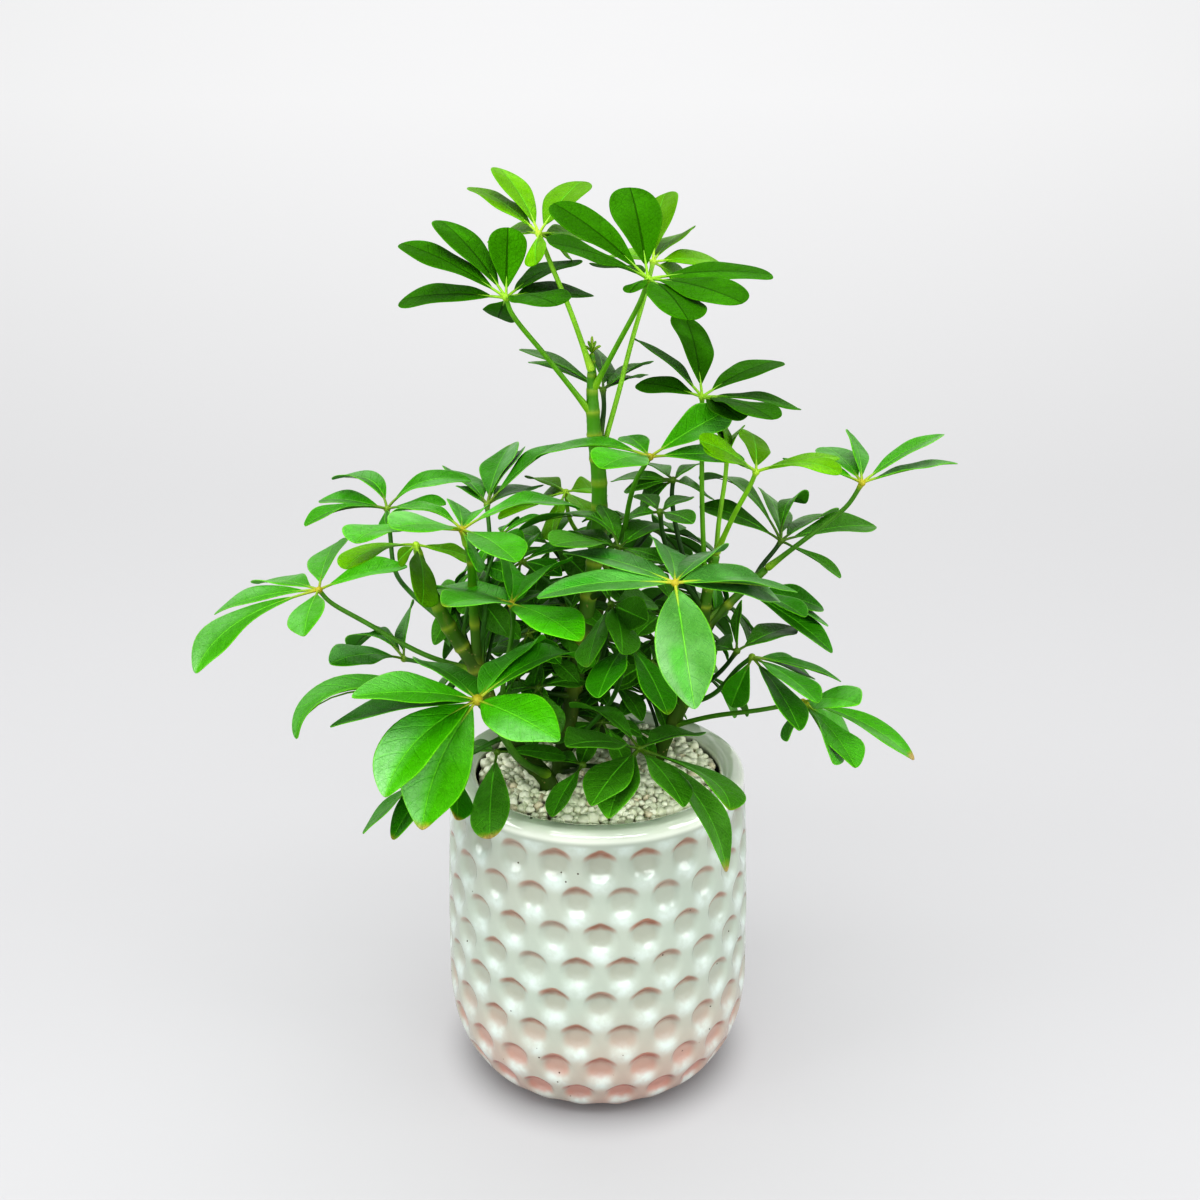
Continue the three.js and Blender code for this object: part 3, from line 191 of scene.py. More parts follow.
# Leaves that the view shows: the hub, the places that the stalk passes, and for each leaflet its
# tip's pixel and the pixels of width that it shows, then, where they differ from the rule, the side
# that it points to, a pixel that it bends through, and its length
LEAVES = {
    "leaf_top_left": dict(
        hub=(506, 298, -12), tone="bright",
        stalk=[(512, 314, -10), (545, 355, -3), (592, 414, 5)],
        tips=[
            (401, 243, 24), (440, 220, 30), (508, 227, 40, AWAY, None, 38), (573, 260, 20),
            (586, 292, 20), (557, 305, 17, TOWARDS), (401, 300, 24, AWAY),
            (498, 318, 36, AWAY, None, 32),
        ],
    ),
    "leaf_top_back_left": dict(
        hub=(539, 234, 8), tone="young", length=50,
        stalk=[(550, 262, 4), (570, 310, 0), (592, 372, 2)],
        tips=[
            (473, 187, 18), (500, 168, 26), (581, 181, 32), (498, 236, 18, AWAY),
            (590, 240, 15, AWAY),
            (536, 264, 20, TOWARDS, None, 30), (568, 254, 12, AWAY, None, 36),
        ],
    ),
    "leaf_top_right": dict(
        hub=(648, 279, -22), tone="bright",
        stalk=[(641, 300, -18), (620, 340, -6), (593, 390, 5)],
        tips=[
            (553, 203, 33), (549, 243, 14, TOWARDS), (630, 187, 52), (773, 275, 19, AWAY),
            (743, 303, 26), (688, 320, 36, TOWARDS), (604, 267, 9),
            (630, 292, 11, TOWARDS, None, 24),
        ],
    ),
    "leaf_top_back_right": dict(
        hub=(653, 262, 42), tone="young", length=52,
        stalk=[(647, 288, 36), (632, 340, 26), (618, 395, 16), (599, 462, 6)],
        tips=[
            (665, 193, 36), (686, 232, 16), (722, 264, 18, AWAY), (692, 294, 22, AWAY),
            (608, 256, 16),
        ],
    ),
    "leaf_right_upper": dict(
        hub=(702, 397, 0), tone="bright",
        stalk=[(702, 420, 0), (702, 500, 0), (704, 556, 0), (707, 596, 0)],
        tips=[
            (684, 315, 36), (635, 339, 10), (638, 383, 21, AWAY, None, 40), (778, 361, 23),
            (798, 408, 11, AWAY), (773, 419, 15, TOWARDS), (741, 420, 22, TOWARDS, None, 40),
        ],
    ),
    "leaf_behind_tip": dict(
        hub=(603, 390, 20), tone="dark", length=48,
        stalk=[(604, 410, 14), (599, 440, 6)],
        tips=[(595, 347, 24), (519, 349, 9), (529, 362, 9, AWAY), (649, 363, 11),
        (640, 377, 12, AWAY)],
    ),
    "leaf_front_upper": dict(
        hub=(650, 457, -36), tone="bright",
        stalk=[(643, 468, -33), (636, 480, -30), (629, 503, -22), (622, 536, -8), (600, 558, 4)],
        tips=[
            (732, 410, 36, AWAY, None, 48), (535, 458, 13, AWAY, (592, 444)),
            (601, 468, 28, TOWARDS),
            (626, 436, 22, AWAY, None, 34), (745, 459, 20, AWAY, None, 46),
        ],
    ),
    "leaf_middle_upper": dict(
        hub=(673, 480, 12), tone="dark", length=42,
        stalk=[(672, 500, 12), (680, 545, 10), (703, 620, 2)],
        tips=[
            (642, 462, 12), (709, 497, 10, AWAY), (640, 505, 18, AWAY, None, 30),
            (612, 481, 11, AWAY),
            (624, 491, 14, AWAY, None, 30), (697, 464, 9, AWAY, None, 25),
        ],
    ),
    "leaf_middle_dark": dict(
        hub=(660, 512, -22), tone="dark", length=30,
        stalk=[(664, 540, -16), (680, 575, -8), (705, 612, 1)],
        tips=[(693, 523, 17, TOWARDS), (640, 494, 18), (622, 520, 12, AWAY), (690, 497, 12)],
    ),
    "leaf_centre_dark": dict(
        hub=(619, 548, -30), tone="dark",
        stalk=[(618, 570, -26), (610, 588, -12), (589, 598, 4)],
        tips=[
            (601, 505, 20, AWAY, None, 32), (656, 523, 24, AWAY, None, 40),
            (518, 530, 9, AWAY, (585, 514)), (553, 545, 12, TOWARDS),
            (571, 532, 11, AWAY, None, 40),
            (667, 562, 14, TOWARDS, None, 32),
        ],
    ),
    "leaf_back_upper": dict(
        hub=(566, 492, 52), tone="young", length=42,
        stalk=[(570, 520, 56), (592, 550, 64), (610, 572, 69)],
        tips=[
            (530, 478, 11), (540, 498, 15, AWAY), (602, 491, 20), (551, 540, 17), (590, 520, 20),
            (498, 519, 14),
        ],
    ),
    "leaf_young_right": dict(
        hub=(756, 472, -30), tone="young", length=42,
        stalk=[(750, 486, -27), (735, 513, -19), (716, 554, 0)],
        tips=[
            (752, 433, 31), (700, 441, 18, TOWARDS), (707, 453, 10, TOWARDS),
            (839, 457, 12, AWAY),
            (841, 474, 11, TOWARDS, (800, 462)),
        ],
    ),
    "leaf_young_shoot": dict(
        hub=(727, 458, 14), tone="young", length=34,
        stalk=[(725, 480, 13), (719, 520, 11), (716, 552, 8), (711, 582, 0)],
        tips=[(708, 412, 9), (718, 411, 9), (741, 428, 10), (700, 450, 9)],
    ),
    "leaf_far_right": dict(
        hub=(862, 483, -6), tone="bright", length=50,
        stalk=[(848, 505, -3), (828, 522, 0), (800, 543, 2), (766, 569, 7)],
        tips=[
            (943, 434, 15), (957, 463, 8), (826, 447, 28), (785, 459, 10, AWAY),
            (850, 432, 16, AWAY, None, 40),
        ],
    ),
    "leaf_right_dark": dict(
        hub=(781, 541, 24), tone="dark",
        stalk=[(774, 551, 22), (760, 568, 16), (755, 582, 7)],
        tips=[
            (876, 526, 22, AWAY), (833, 514, 11, AWAY), (806, 503, 16, AWAY, (788, 502), 38),
            (766, 493, 24), (700, 480, 12, AWAY, (742, 486)),
            (699, 506, 20, AWAY, (740, 517), 46),
            (841, 578, 8, TOWARDS, None, 38),
        ],
    ),
    "leaf_left_upper": dict(
        hub=(387, 509, 24), tone="mid", length=46,
        stalk=[(390, 532, 24), (394, 568, 18), (410, 592, -4), (448, 624, -27)],
        tips=[
            (332, 479, 18, AWAY, (370, 480)), (320, 500, 17, AWAY),
            (304, 526, 8, TOWARDS, (346, 507)),
            (472, 481, 16, TOWARDS, (422, 482), 44), (446, 504, 12, TOWARDS, None, 36),
            (386, 526, 10, TOWARDS, None, 20),
        ],
    ),
    "leaf_left_back": dict(
        hub=(487, 505, 32), tone="mid",
        stalk=[(490, 545, 22), (486, 600, -2), (480, 668, -24)],
        tips=[
            (511, 444, 29), (451, 470, 21), (521, 450, 18), (564, 443, 13, AWAY, (526, 465)),
            (535, 487, 17), (460, 486, 14, AWAY, None, 32),
        ],
    ),
    "leaf_left_bright": dict(
        hub=(462, 530, -43), tone="bright",
        stalk=[(464, 536, -42), (467, 545, -40)],
        tips=[
            (517, 562, 32, TOWARDS), (392, 528, 18, TOWARDS),
            (391, 513, 11, AWAY, (430, 509), 38),
            (455, 502, 22, AWAY, None, 34), (581, 509, 15, AWAY, (520, 503)),
            (356, 543, 12, TOWARDS, (388, 529)), (484, 508, 12, AWAY, None, 34),
            (478, 572, 11, TOWARDS, None, 30),
        ],
    ),
    "leaf_left_front": dict(
        hub=(416, 545, -33), tone="young", length=48,
        stalk=[(419, 556, -32), (424, 570, -31)],
        tips=[
            (345, 569, 15, TOWARDS, (376, 548)), (422, 605, 28), (476, 560, 14, AWAY, None, 34),
            (398, 562, 16, AWAY, None, 22),
        ],
    ),
    "leaf_far_left": dict(
        hub=(319, 590, -18), tone="bright",
        stalk=[(330, 602, -18), (365, 622, -20), (425, 655, -24), (474, 670, -24)],
        tips=[
            (337, 542, 30), (258, 583, 15, AWAY), (214, 614, 17, AWAY, (262, 596)),
            (195, 674, 28, TOWARDS, (238, 622), 66), (304, 636, 32, TOWARDS, None, 46),
            (408, 566, 19, AWAY, (360, 574), 46),
        ],
    ),
    "leaf_left_low": dict(
        hub=(404, 659, 12), tone="mid", length=48,
        stalk=[(430, 664, 4), (476, 676, -23)],
        tips=[
            (330, 664, 24, TOWARDS, (366, 654)), (352, 651, 13, AWAY, (375, 632)), (413, 603, 11),
            (362, 621, 9),
        ],
    ),
    "leaf_front_left": dict(
        hub=(477, 700, -88), tone="bright", length=62, stalk_radius=1.7,
        stalk=[(487, 712, -84), (500, 730, -72), (519, 759, -46), (548, 775, -22)],
        tips=[
            (422, 831, 60, TOWARDS, (439, 763)), (385, 798, 46, TOWARDS, (416, 742)),
            (351, 697, 27, TOWARDS), (296, 740, 16, AWAY, (345, 690), 70), (329, 727, 18, AWAY),
            (418, 660, 19),
            (545, 638, 15, AWAY), (592, 667, 17, AWAY, (548, 656)),
            (560, 741, 47, TOWARDS, None, 54),
        ],
    ),
    "leaf_front_low": dict(
        hub=(639, 749, -72), tone="dark",
        stalk=[(632, 756, -64), (606, 766, -34), (561, 764, -6)],
        tips=[
            (727, 873, 28, TOWARDS, (697, 797)), (730, 810, 15, TOWARDS, (706, 776), 62),
            (698, 734, 19), (571, 707, 15, AWAY, (608, 716)), (566, 746, 19, TOWARDS),
            (591, 806, 40, TOWARDS, None, 50), (608, 819, 40, TOWARDS, None, 48),
            (684, 807, 28, TOWARDS, None, 48),
        ],
    ),
    "leaf_front_centre": dict(
        hub=(675, 583, -88), tone="pale", length=60,
        stalk=[(679, 602, -80), (690, 650, -40), (692, 684, 5)],
        tips=[
            (695, 710, 62), (563, 553, 19, AWAY), (536, 598, 24, TOWARDS, (600, 583)),
            (661, 543, 32),
            (723, 550, 16), (780, 601, 32, AWAY, (736, 582)), (798, 592, 10, AWAY),
        ],
    ),
    "leaf_centre_left": dict(
        hub=(511, 604, -64), tone="bright",
        stalk=[(513, 628, -46), (505, 672, -27), (499, 722, -22)],
        tips=[
            (581, 641, 33), (444, 606, 16, TOWARDS), (435, 588, 15, AWAY),
            (507, 558, 26, AWAY, None, 44), (571, 560, 11, AWAY),
        ],
    ),
    "leaf_inner_centre": dict(
        hub=(611, 604, -52), tone="dark", length=46,
        stalk=[(606, 640, -34), (590, 690, -6), (572, 700, 0)],
        tips=[
            (622, 654, 28), (648, 621, 38, TOWARDS, None, 30), (653, 602, 24, AWAY, None, 40),
            (588, 667, 22), (597, 571, 20, AWAY, None, 24),
        ],
    ),
    "leaf_inner_front": dict(
        hub=(628, 642, -66), tone="mid", length=46,
        stalk=[(620, 680, -40), (606, 708, -16), (566, 750, -5)],
        tips=[(668, 715, 30), (598, 698, 32), (640, 612, 16, AWAY, None, 26)],
    ),
    "leaf_right_middle": dict(
        hub=(737, 651, -24), tone="dark", length=46,
        stalk=[(724, 668, -16), (705, 684, -2), (690, 690, 6)],
        tips=[(794, 627, 24), (741, 600, 10, AWAY, None, 28), (708, 648, 24, AWAY)],
    ),
    "leaf_right_light": dict(
        hub=(752, 657, -42), tone="mid", length=50,
        stalk=[(738, 668, -34), (714, 694, -12), (683, 706, 7)],
        tips=[
            (811, 677, 15, AWAY), (818, 703, 20), (841, 681, 9, AWAY), (800, 731, 26),
            (731, 707, 30, AWAY, None, 34),
        ],
    ),
    "leaf_right_side": dict(
        hub=(744, 590, 12), tone="mid", length=48,
        stalk=[(730, 600, 7), (704, 622, 1)],
        tips=[
            (805, 617, 14, TOWARDS), (824, 609, 21, AWAY), (833, 653, 20, TOWARDS),
            (829, 626, 8, AWAY),
        ],
    ),
    "leaf_far_right_low": dict(
        hub=(803, 702, -36), tone="bright", length=52,
        stalk=[(760, 710, -30), (713, 716, -12), (672, 726, 9)],
        tips=[
            (859, 704, 26), (915, 760, 19, AWAY, (862, 722)), (856, 768, 25),
            (858, 752, 18, AWAY),
            (834, 764, 9, TOWARDS), (787, 741, 9, TOWARDS, None, 30),
        ],
    ),
    "leaf_rim_left": dict(
        hub=(497, 752, -42), tone="dark",
        stalk=[(500, 750, -36), (508, 750, -30), (519, 751, -23)],
        tips=[
            (490, 839, 39, TOWARDS, None, 50), (467, 746, 18, AWAY, None, 30),
            (566, 756, 16, AWAY, None, 36),
        ],
    ),
    "leaf_rim_small": dict(
        hub=(583, 765, -42), tone="dark", length=36,
        stalk=[(576, 770, -30), (560, 772, -7)],
        tips=[(552, 817, 22), (546, 758, 14, AWAY)],
    ),
    "leaf_rim_back_left": dict(
        hub=(448, 762, -44), tone="mid", length=44,
        stalk=[(468, 755, -46), (489, 744, -42), (509, 735, -24)],
        tips=[(392, 840, 24), (362, 834, 7, AWAY), (457, 820, 26)],
    ),
}

# Leaves that the view hides, laid out round an axis
WHORLS = {
    "leaf_inner_a": dict(
        hub=(545, 622, 16), axis=(-0.2, -0.5, 1),
        count=6, length=35, droop=0.25,
        stalk=[(560, 640, 14), (580, 646, 3)],
    ),
    "leaf_inner_b": dict(
        hub=(655, 640, 34), axis=(0.3, -0.4, 1),
        count=6, length=42, droop=0.3,
        stalk=[(630, 660, 44), (590, 668, 48)],
    ),
    "leaf_inner_c": dict(
        hub=(552, 546, 50), axis=(-0.3, -0.4, 1),
        count=6, length=34, droop=0.25,
        stalk=[(578, 586, 60), (596, 626, 61)],
    ),
    "leaf_inner_d": dict(
        hub=(474, 592, 12), axis=(-0.3, -0.5, 1),
        count=5, length=33, droop=0.3,
        stalk=[(482, 630, -6), (482, 676, -24)],
    ),
    "leaf_inner_e": dict(
        hub=(538, 688, -14), axis=(-0.2, -0.5, 1),
        count=5, length=25, droop=0.45,
        stalk=[(545, 692, -10), (573, 696, 0)],
    ),
    "leaf_back_a": dict(
        hub=(520, 590, 92), axis=(-0.6, 0.7, 1),
        count=8, length=54, droop=0.3,
        stalk=[(560, 625, 74), (589, 652, 52)],
    ),
    "leaf_back_b": dict(
        hub=(672, 588, 96), axis=(0.6, 0.7, 1),
        count=8, length=54, droop=0.3,
        stalk=[(640, 610, 80), (593, 642, 55)],
    ),
    "leaf_back_c": dict(
        hub=(650, 530, 90), axis=(0.3, 0.5, 1),
        count=8, length=44, droop=0.2,
        stalk=[(638, 546, 84), (612, 567, 70)],
    ),
    "leaf_back_d": dict(
        hub=(584, 640, 118), axis=(0, 0.9, 1),
        count=7, length=44, droop=0.25,
        stalk=[(588, 652, 95), (589, 682, 46)],
    ),
    "leaf_back_e": dict(
        hub=(694, 668, 70), axis=(0.8, 0.5, 1),
        count=6, length=46, droop=0.2,
        stalk=[(656, 690, 56), (598, 725, 39)],
    ),
    "leaf_back_f": dict(
        hub=(488, 655, 66), axis=(-0.8, 0.5, 1),
        count=6, length=46, droop=0.2,
        stalk=[(530, 690, 52), (597, 722, 39)],
    ),
}


def linear(red, green, blue):
    """A colour as a screen shows it, 0 to 255, in the linear values that shaders use."""
    def channel(value):
        value /= 255
        return value / 12.92 if value <= 0.04045 else ((value + 0.055) / 1.055) ** 2.4

    return tuple(channel(value) for value in (red, green, blue))


def opaque(colour):
    return (*colour[:3], 1.0)


def dimmed(colour, share):
    return tuple(share * channel for channel in colour)


# ---------------------------------------------------------------- settings


def colour_property(name, description, default):
    return bpy.props.FloatVectorProperty(
        name=name, description=description, subtype="COLOR", size=3, min=0, max=1, default=default
    )


def length_property(name, description, default):
    return bpy.props.FloatProperty(
        name=name, description=description, default=default,
        min=0, subtype="DISTANCE", unit="LENGTH"
    )


class PotSettings(bpy.types.PropertyGroup):
    glaze: colour_property("Glaze", "Colour of the thick glaze", linear(173, 183, 171))
    # Colour of thin glaze over the clay on each dent's upper edge, and of the painted shade there
    thin_glaze_and_shade: colour_property(
        "Thin glaze", "Where it runs thin over the clay", linear(156, 112, 92)
    )
    # Painted pink reflection of the floor on the lowest rows
    pink_floor_reflection: colour_property("Blush", "Tint of the lowest rows", linear(196, 130, 116))
    dent_depth: length_property("Dent depth", "How deep each dent is pressed", 0.0027)


class ChipSettings(bpy.types.PropertyGroup):
    stone: colour_property("Stone", "Colour of the lighter chips", linear(252, 252, 236))
    shade: colour_property("Darker stone", "Colour of the darker chips", linear(226, 230, 204))
    soil: colour_property("Soil", "Colour of the potting soil", linear(44, 34, 24))
    spacing: length_property("Chip spacing", "From one chip to the next", 0.0043)


class StemSettings(bpy.types.PropertyGroup):
    old_bark: colour_property("Old bark", "Colour low on the stems", linear(62, 94, 12))
    young_bark: colour_property("Young bark", "Colour at the growing tips", linear(74, 136, 8))


class LeafSettings(bpy.types.PropertyGroup):
    # Painted light and shade: bright, mid and dark are one leaf green painted lighter or darker for
    # the light where each leaf hangs
    bright: colour_property("Bright", "Leaves in full light", linear(80, 178, 6))
    young: colour_property("Young", "Leaves just unfolded", linear(116, 182, 0))
    # Painted sheen over the whole blade of the glossy leaf
    pale: colour_property("Pale", "The glossy leaf in front", linear(90, 160, 72))
    mid: colour_property("Middle", "Leaves at the sides", linear(64, 150, 10))
    # Painted shade of the leaves inside the crown
    dark: colour_property("Dark", "Leaves inside the crown", linear(78, 146, 32))
    shaded: colour_property(
        "Shaded", "Leaves at the top, seen against the light", linear(64, 130, 2)
    )
    margin: colour_property("Margin", "Thin edge of a blade", linear(120, 200, 40))
    midrib: colour_property("Midrib", "Midrib on the upper face", linear(112, 200, 50))
    browned: colour_property("Browned tip", "Dry tips", linear(172, 142, 92))
    thickness: length_property("Blade thickness", "Thickness of a blade", 0.0006)


class StageSettings(bpy.types.PropertyGroup):
    floor: colour_property("Floor", "Colour of floor and backdrop", linear(128, 128, 129))
    glow: bpy.props.FloatProperty(
        name="Glow", description="Light of the backdrop itself", default=0.46
    )
    light: bpy.props.FloatProperty(
        name="Light", description="Strength of all lights", default=1.0
    )


# ---------------------------------------------------------------- shader maths


class Wire:
    """A socket that takes arithmetic; an expression adds its Math nodes."""

    def __init__(self, paint, socket):
        self.paint = paint
        self.socket = socket

    def math(self, operation, *values, clamp=False):
        settings = {"operation": operation, "use_clamp": clamp}
        return self.paint.add("ShaderNodeMath", settings, dict(enumerate(values)))

    def __add__(self, other):
        return self.math("ADD", self, other)

    __radd__ = __add__

    def __sub__(self, other):
        return self.math("SUBTRACT", self, other)

    def __rsub__(self, other):
        return self.math("SUBTRACT", other, self)

    def __mul__(self, other):
        return self.math("MULTIPLY", self, other)

    __rmul__ = __mul__

    def __truediv__(self, other):
        return self.math("DIVIDE", self, other)

    def __rtruediv__(self, other):
        return self.math("DIVIDE", other, self)

    def __pow__(self, other):
        return self.math("POWER", self, other)

    def __abs__(self):
        return self.math("ABSOLUTE", self)

    def fract(self):
        return self.math("FRACT", self)

    def rounded(self):
        return self.math("ROUND", self)

    def cosine(self):
        return self.math("COSINE", self)

    def larger(self, other):
        return self.math("MAXIMUM", self, other)

    def over(self, level):
        return self.math("GREATER_THAN", self, level)

    def clamped(self):
        return self.math("ADD", self, 0.0, clamp=True)

    def rise(self, low, high):
        """0 below low, 1 above high, and a smooth step between them."""
        settings = {"interpolation_type": "SMOOTHSTEP"}
        return self.paint.add("ShaderNodeMapRange", settings, {0: self, 1: low, 2: high})

    def fall(self, low, high):
        return 1 - self.rise(low, high)


class Paint:
    """One material and the nodes that feed its shader."""

    def __init__(self, name, constants):
        self.material = bpy.data.materials.new(name)
        self.material.use_nodes = True
        self.tree = self.material.node_tree
        self.shader = self.tree.nodes["Principled BSDF"]
        for socket, value in constants.items():
            self.shader.inputs[socket].default_value = value

    def add(self, kind, settings=None, values=None, output=0):
        """A node of any type: its settings first, then its sockets' values or links."""
        node = self.tree.nodes.new(kind)
        for key, value in (settings or {}).items():
            setattr(node, key, value)
        for key, value in (values or {}).items():
            self.plug(value, node.inputs[key])
        return Wire(self, node.outputs[output])

    def plug(self, value, socket):
        if isinstance(value, Wire):
            self.tree.links.new(value.socket, socket)
        else:
            socket.default_value = value

    def finish(self, **sockets):
        for name, value in sockets.items():
            self.plug(value, self.shader.inputs[name.replace("_", " ")])
        return self.material

    def point(self):
        return self.add("ShaderNodeTexCoord", output="Object")

    def parts(self, vector):
        split = self.add("ShaderNodeSeparateXYZ", None, {0: vector}).socket.node
        return [Wire(self, socket) for socket in split.outputs]

    def chart(self):
        return self.parts(self.add("ShaderNodeUVMap", {"uv_map": "UVMap"}))[:2]

    def value(self, attribute):
        return self.add("ShaderNodeAttribute", {"attribute_name": attribute}, output="Fac")

    def noise(self, scale, detail=2.0, rough=0.5, stretch=None):
        vector = self.point()
        if stretch:
            vector = self.add("ShaderNodeMapping", None, {"Vector": vector, "Scale": stretch})
        values = {"Vector": vector, "Scale": scale, "Detail": detail, "Roughness": rough}
        return self.add("ShaderNodeTexNoise", None, values)

    def cells(self, scale, feature="F1"):
        values = {"Vector": self.point(), "Scale": scale}
        return self.add("ShaderNodeTexVoronoi", {"feature": feature}, values, "Distance")

    def mix(self, factor, first, second):
        sides = [side if isinstance(side, Wire) else opaque(side) for side in (first, second)]
        values = {0: factor, 6: sides[0], 7: sides[1]}
        return self.add("ShaderNodeMix", {"data_type": "RGBA"}, values, 2)

    def layered(self, colour, *coats):
        """Lays coats over a colour, each given as its mask and its own colour."""
        for mask, coat in coats:
            colour = self.mix(mask, colour, coat)
        return colour

    def bump(self, height, distance, strength=1.0):
        values = {"Height": height, "Distance": distance, "Strength": strength}
        return self.add("ShaderNodeBump", None, values, "Normal")


# ---------------------------------------------------------------- finishes


def dent_marks(paint, turn, rows, on_wall):
    """Masks of the dents: a number of its own for each, how far a point lies out in it, its bowl
    for painted shade, its thin upper edge for thin glaze and painted shade, and the painted
    highlight on the slope below it."""
    row = rows.rounded()
    shift = (row * 0.5).fract() * 2
    offset = (turn - shift) * 0.5
    nearest = offset.rounded()
    key = paint.add("ShaderNodeCombineXYZ", None, {0: nearest, 1: row, 2: 0.5})
    own = paint.add("ShaderNodeTexWhiteNoise", {"noise_dimensions": "3D"}, {"Vector": key})
    aside = (offset - nearest) * paint.value("wall_radius") * (2 * math.pi / DENTS_AROUND)
    above = (row - rows) * DENT_PITCH
    away = (aside ** 2 + above ** 2) ** 0.5
    # Crowded dents press each other into hexagons with a peak on top
    hexagon = (abs(aside) * 0.52 + abs(above) * 0.9).larger(away * 0.94)
    form = (own * 0.9).clamped()
    warped = (paint.noise(48, 1) - 0.5) * 3.0 + (paint.noise(90, 2) - 0.5) * 1.12
    reach = (away * (1 - form) + hexagon * form + warped) / DENT_RADIUS
    upward = (above / (away + 0.01)).clamped()
    # The upper edge: thin glaze over the clay, and painted shade where the edge faces down
    edge = reach.rise(0.9 - upward * 0.58, 0.99 - upward * 0.18) * reach.fall(1.0, 1.2)
    thin_edge_and_shade = edge * upward.rise(0.2, 0.92) * on_wall
    # Painted shade in the bowl of each dent
    bowl_shade = reach.fall(0.55, 0.95) * on_wall
    # Painted highlight on the upward slope below each dent
    below = ((rows - 0.44) * math.pi).cosine()
    beside = (turn * math.pi).cosine()
    painted_highlight = ((abs(below) + beside * below) * 0.5 * abs(below)).rise(0.05, 1.0) * on_wall
    return own, reach, bowl_shade, thin_edge_and_shade, painted_highlight


def glaze_finish(settings):
    """Thick pale glaze that runs thin over the upper edge of every dent, with painted shade there
    and in the bowls, a painted highlight below each dent, a painted pink floor reflection low down
    and a rim painted lighter.
    """
    paint = Paint("Glazed stoneware", {"IOR": 1.52, "Coat Roughness": 0.02})
    turn, rows = paint.chart()
    on_wall = rows.rise(-0.62, -0.5) * rows.fall(8.5, 8.65)
    own, reach, bowl_shade, thin_edge_and_shade, painted_highlight = dent_marks(paint, turn, rows, on_wall)
    mottle = paint.noise(160, 3)
    patches = paint.noise(14, 3)
    blotch = paint.noise(130, 3, 0.6).rise(0.25, 0.7)
    low = rows.rise(3.6, 8.0)
    # The pink of a reflected floor, painted on the lowest rows
    pink_floor_reflection = tuple(settings.pink_floor_reflection)
    # Crescent colour: thin glaze over the clay with painted shade, redder low down with the painted
    # floor reflection
    brown = paint.mix(low, tuple(settings.thin_glaze_and_shade), linear(176, 96, 82))
    strength = 0.5 + 0.4 * own + 0.5 * (mottle - 0.3)
    # Painted light: the rim and the inside of the mouth are painted lighter against the shade of
    # the leaves above
    rim = paint.mix(patches, linear(226, 234, 220), linear(230, 234, 222))
    x, y, z = paint.parts(paint.point())
    from_flaw = ((x - FLAW_SPOT[0]) ** 2 + (y - FLAW_SPOT[1]) ** 2) ** 0.5
    flaw = from_flaw.fall(0.0005, 0.0009) * z.over(FLAW_HEIGHT)
    pinholes = paint.cells(150).fall(0.05, 0.09) * paint.noise(60, 1).rise(0.56, 0.6)
    glaze = paint.layered(
        tuple(settings.glaze),
        (patches.rise(0.35, 0.75) * 0.5, linear(176, 177, 165)),
        # Painted pink reflection of the floor over the lowest rows and in their dents
        (low * (0.2 + 0.3 * patches.rise(0.3, 0.6)), pink_floor_reflection),
        # Painted shade in each dent's bowl
        (bowl_shade * (0.4 + 0.35 * own), linear(160, 162, 148)),
        (reach.fall(0.6, 1.0) * on_wall * low * 0.75, pink_floor_reflection),
        # Painted highlight on the upward slope below each dent
        ((painted_highlight * (0.3 + 0.6 * blotch) * (1 - 0.6 * bowl_shade)).clamped(), linear(202, 213, 208)),
        # Thin glaze over the clay on each dent's upper edge, with painted shade under it
        ((thin_edge_and_shade * strength).clamped(), brown),
        # Rim and mouth painted lighter: painted light against the leaves' shade
        (rows.fall(-0.72, -0.58), rim),
        (flaw, linear(24, 22, 20)),
        (pinholes * 0.85, linear(70, 52, 44)),
    )
    waves = paint.noise(55, 2) * 0.8 + paint.noise(210, 2) * 0.24 - pinholes * 0.5 - flaw
    return paint.finish(
        Base_Color=glaze,
        Roughness=0.03 + on_wall * (0.11 + mottle * 0.12),
        Coat_Weight=1 - on_wall * (0.94 - 0.15 * patches),
        Normal=paint.bump(waves, 0.0012, 0.5),
    )


def soil_finish(settings):
    """Dark crumbs and fibres with a few pale grains of grit."""
    paint = Paint("Potting soil", {"Specular IOR Level": 0.2})
    crumbs = paint.cells(260)
    fibres = paint.noise(420, 4, 0.7)
    grit = paint.cells(180).fall(0.1, 0.16) * paint.noise(70, 1).rise(0.55, 0.6)
    colour = paint.layered(
        tuple(settings.soil),
        (fibres.rise(0.35, 0.7), linear(82, 62, 42)),
        (crumbs.fall(0.1, 0.5) * 0.6, linear(24, 18, 12)),
        (grit, linear(200, 196, 180)),
    )
    return paint.finish(
        Base_Color=colour,
        Roughness=0.8 + fibres * 0.15,
        Normal=paint.bump(crumbs + fibres * 0.5, 0.002, 0.9),
    )


def chip_finish(settings):
    """Broken marble: each chip has its own tint and a sugary grain, with painted shade on the lower
    layer and the bed beneath.
    """
    paint = Paint("Marble chips", {"IOR": 1.5})
    tint = paint.value("tint")
    grain = paint.noise(900, 3, 0.6)
    colour = paint.layered(
        tuple(settings.shade),
        (tint, tuple(settings.stone)),
        (tint.rise(0.86, 0.95) * 0.6, linear(206, 186, 150)),
        (grain.rise(0.5, 0.75) * 0.3, linear(252, 252, 246)),
        (paint.noise(260, 2).rise(0.56, 0.7) * 0.25, linear(176, 176, 136)),
        # Painted shade, deeper the lower a chip lies
        (paint.value("depth") * 0.8, linear(132, 116, 84)),
    )
    return paint.finish(
        Base_Color=colour,
        Roughness=0.35 + grain * 0.35,
        Normal=paint.bump(grain + paint.noise(350, 2), 0.0005, 0.7),
    )


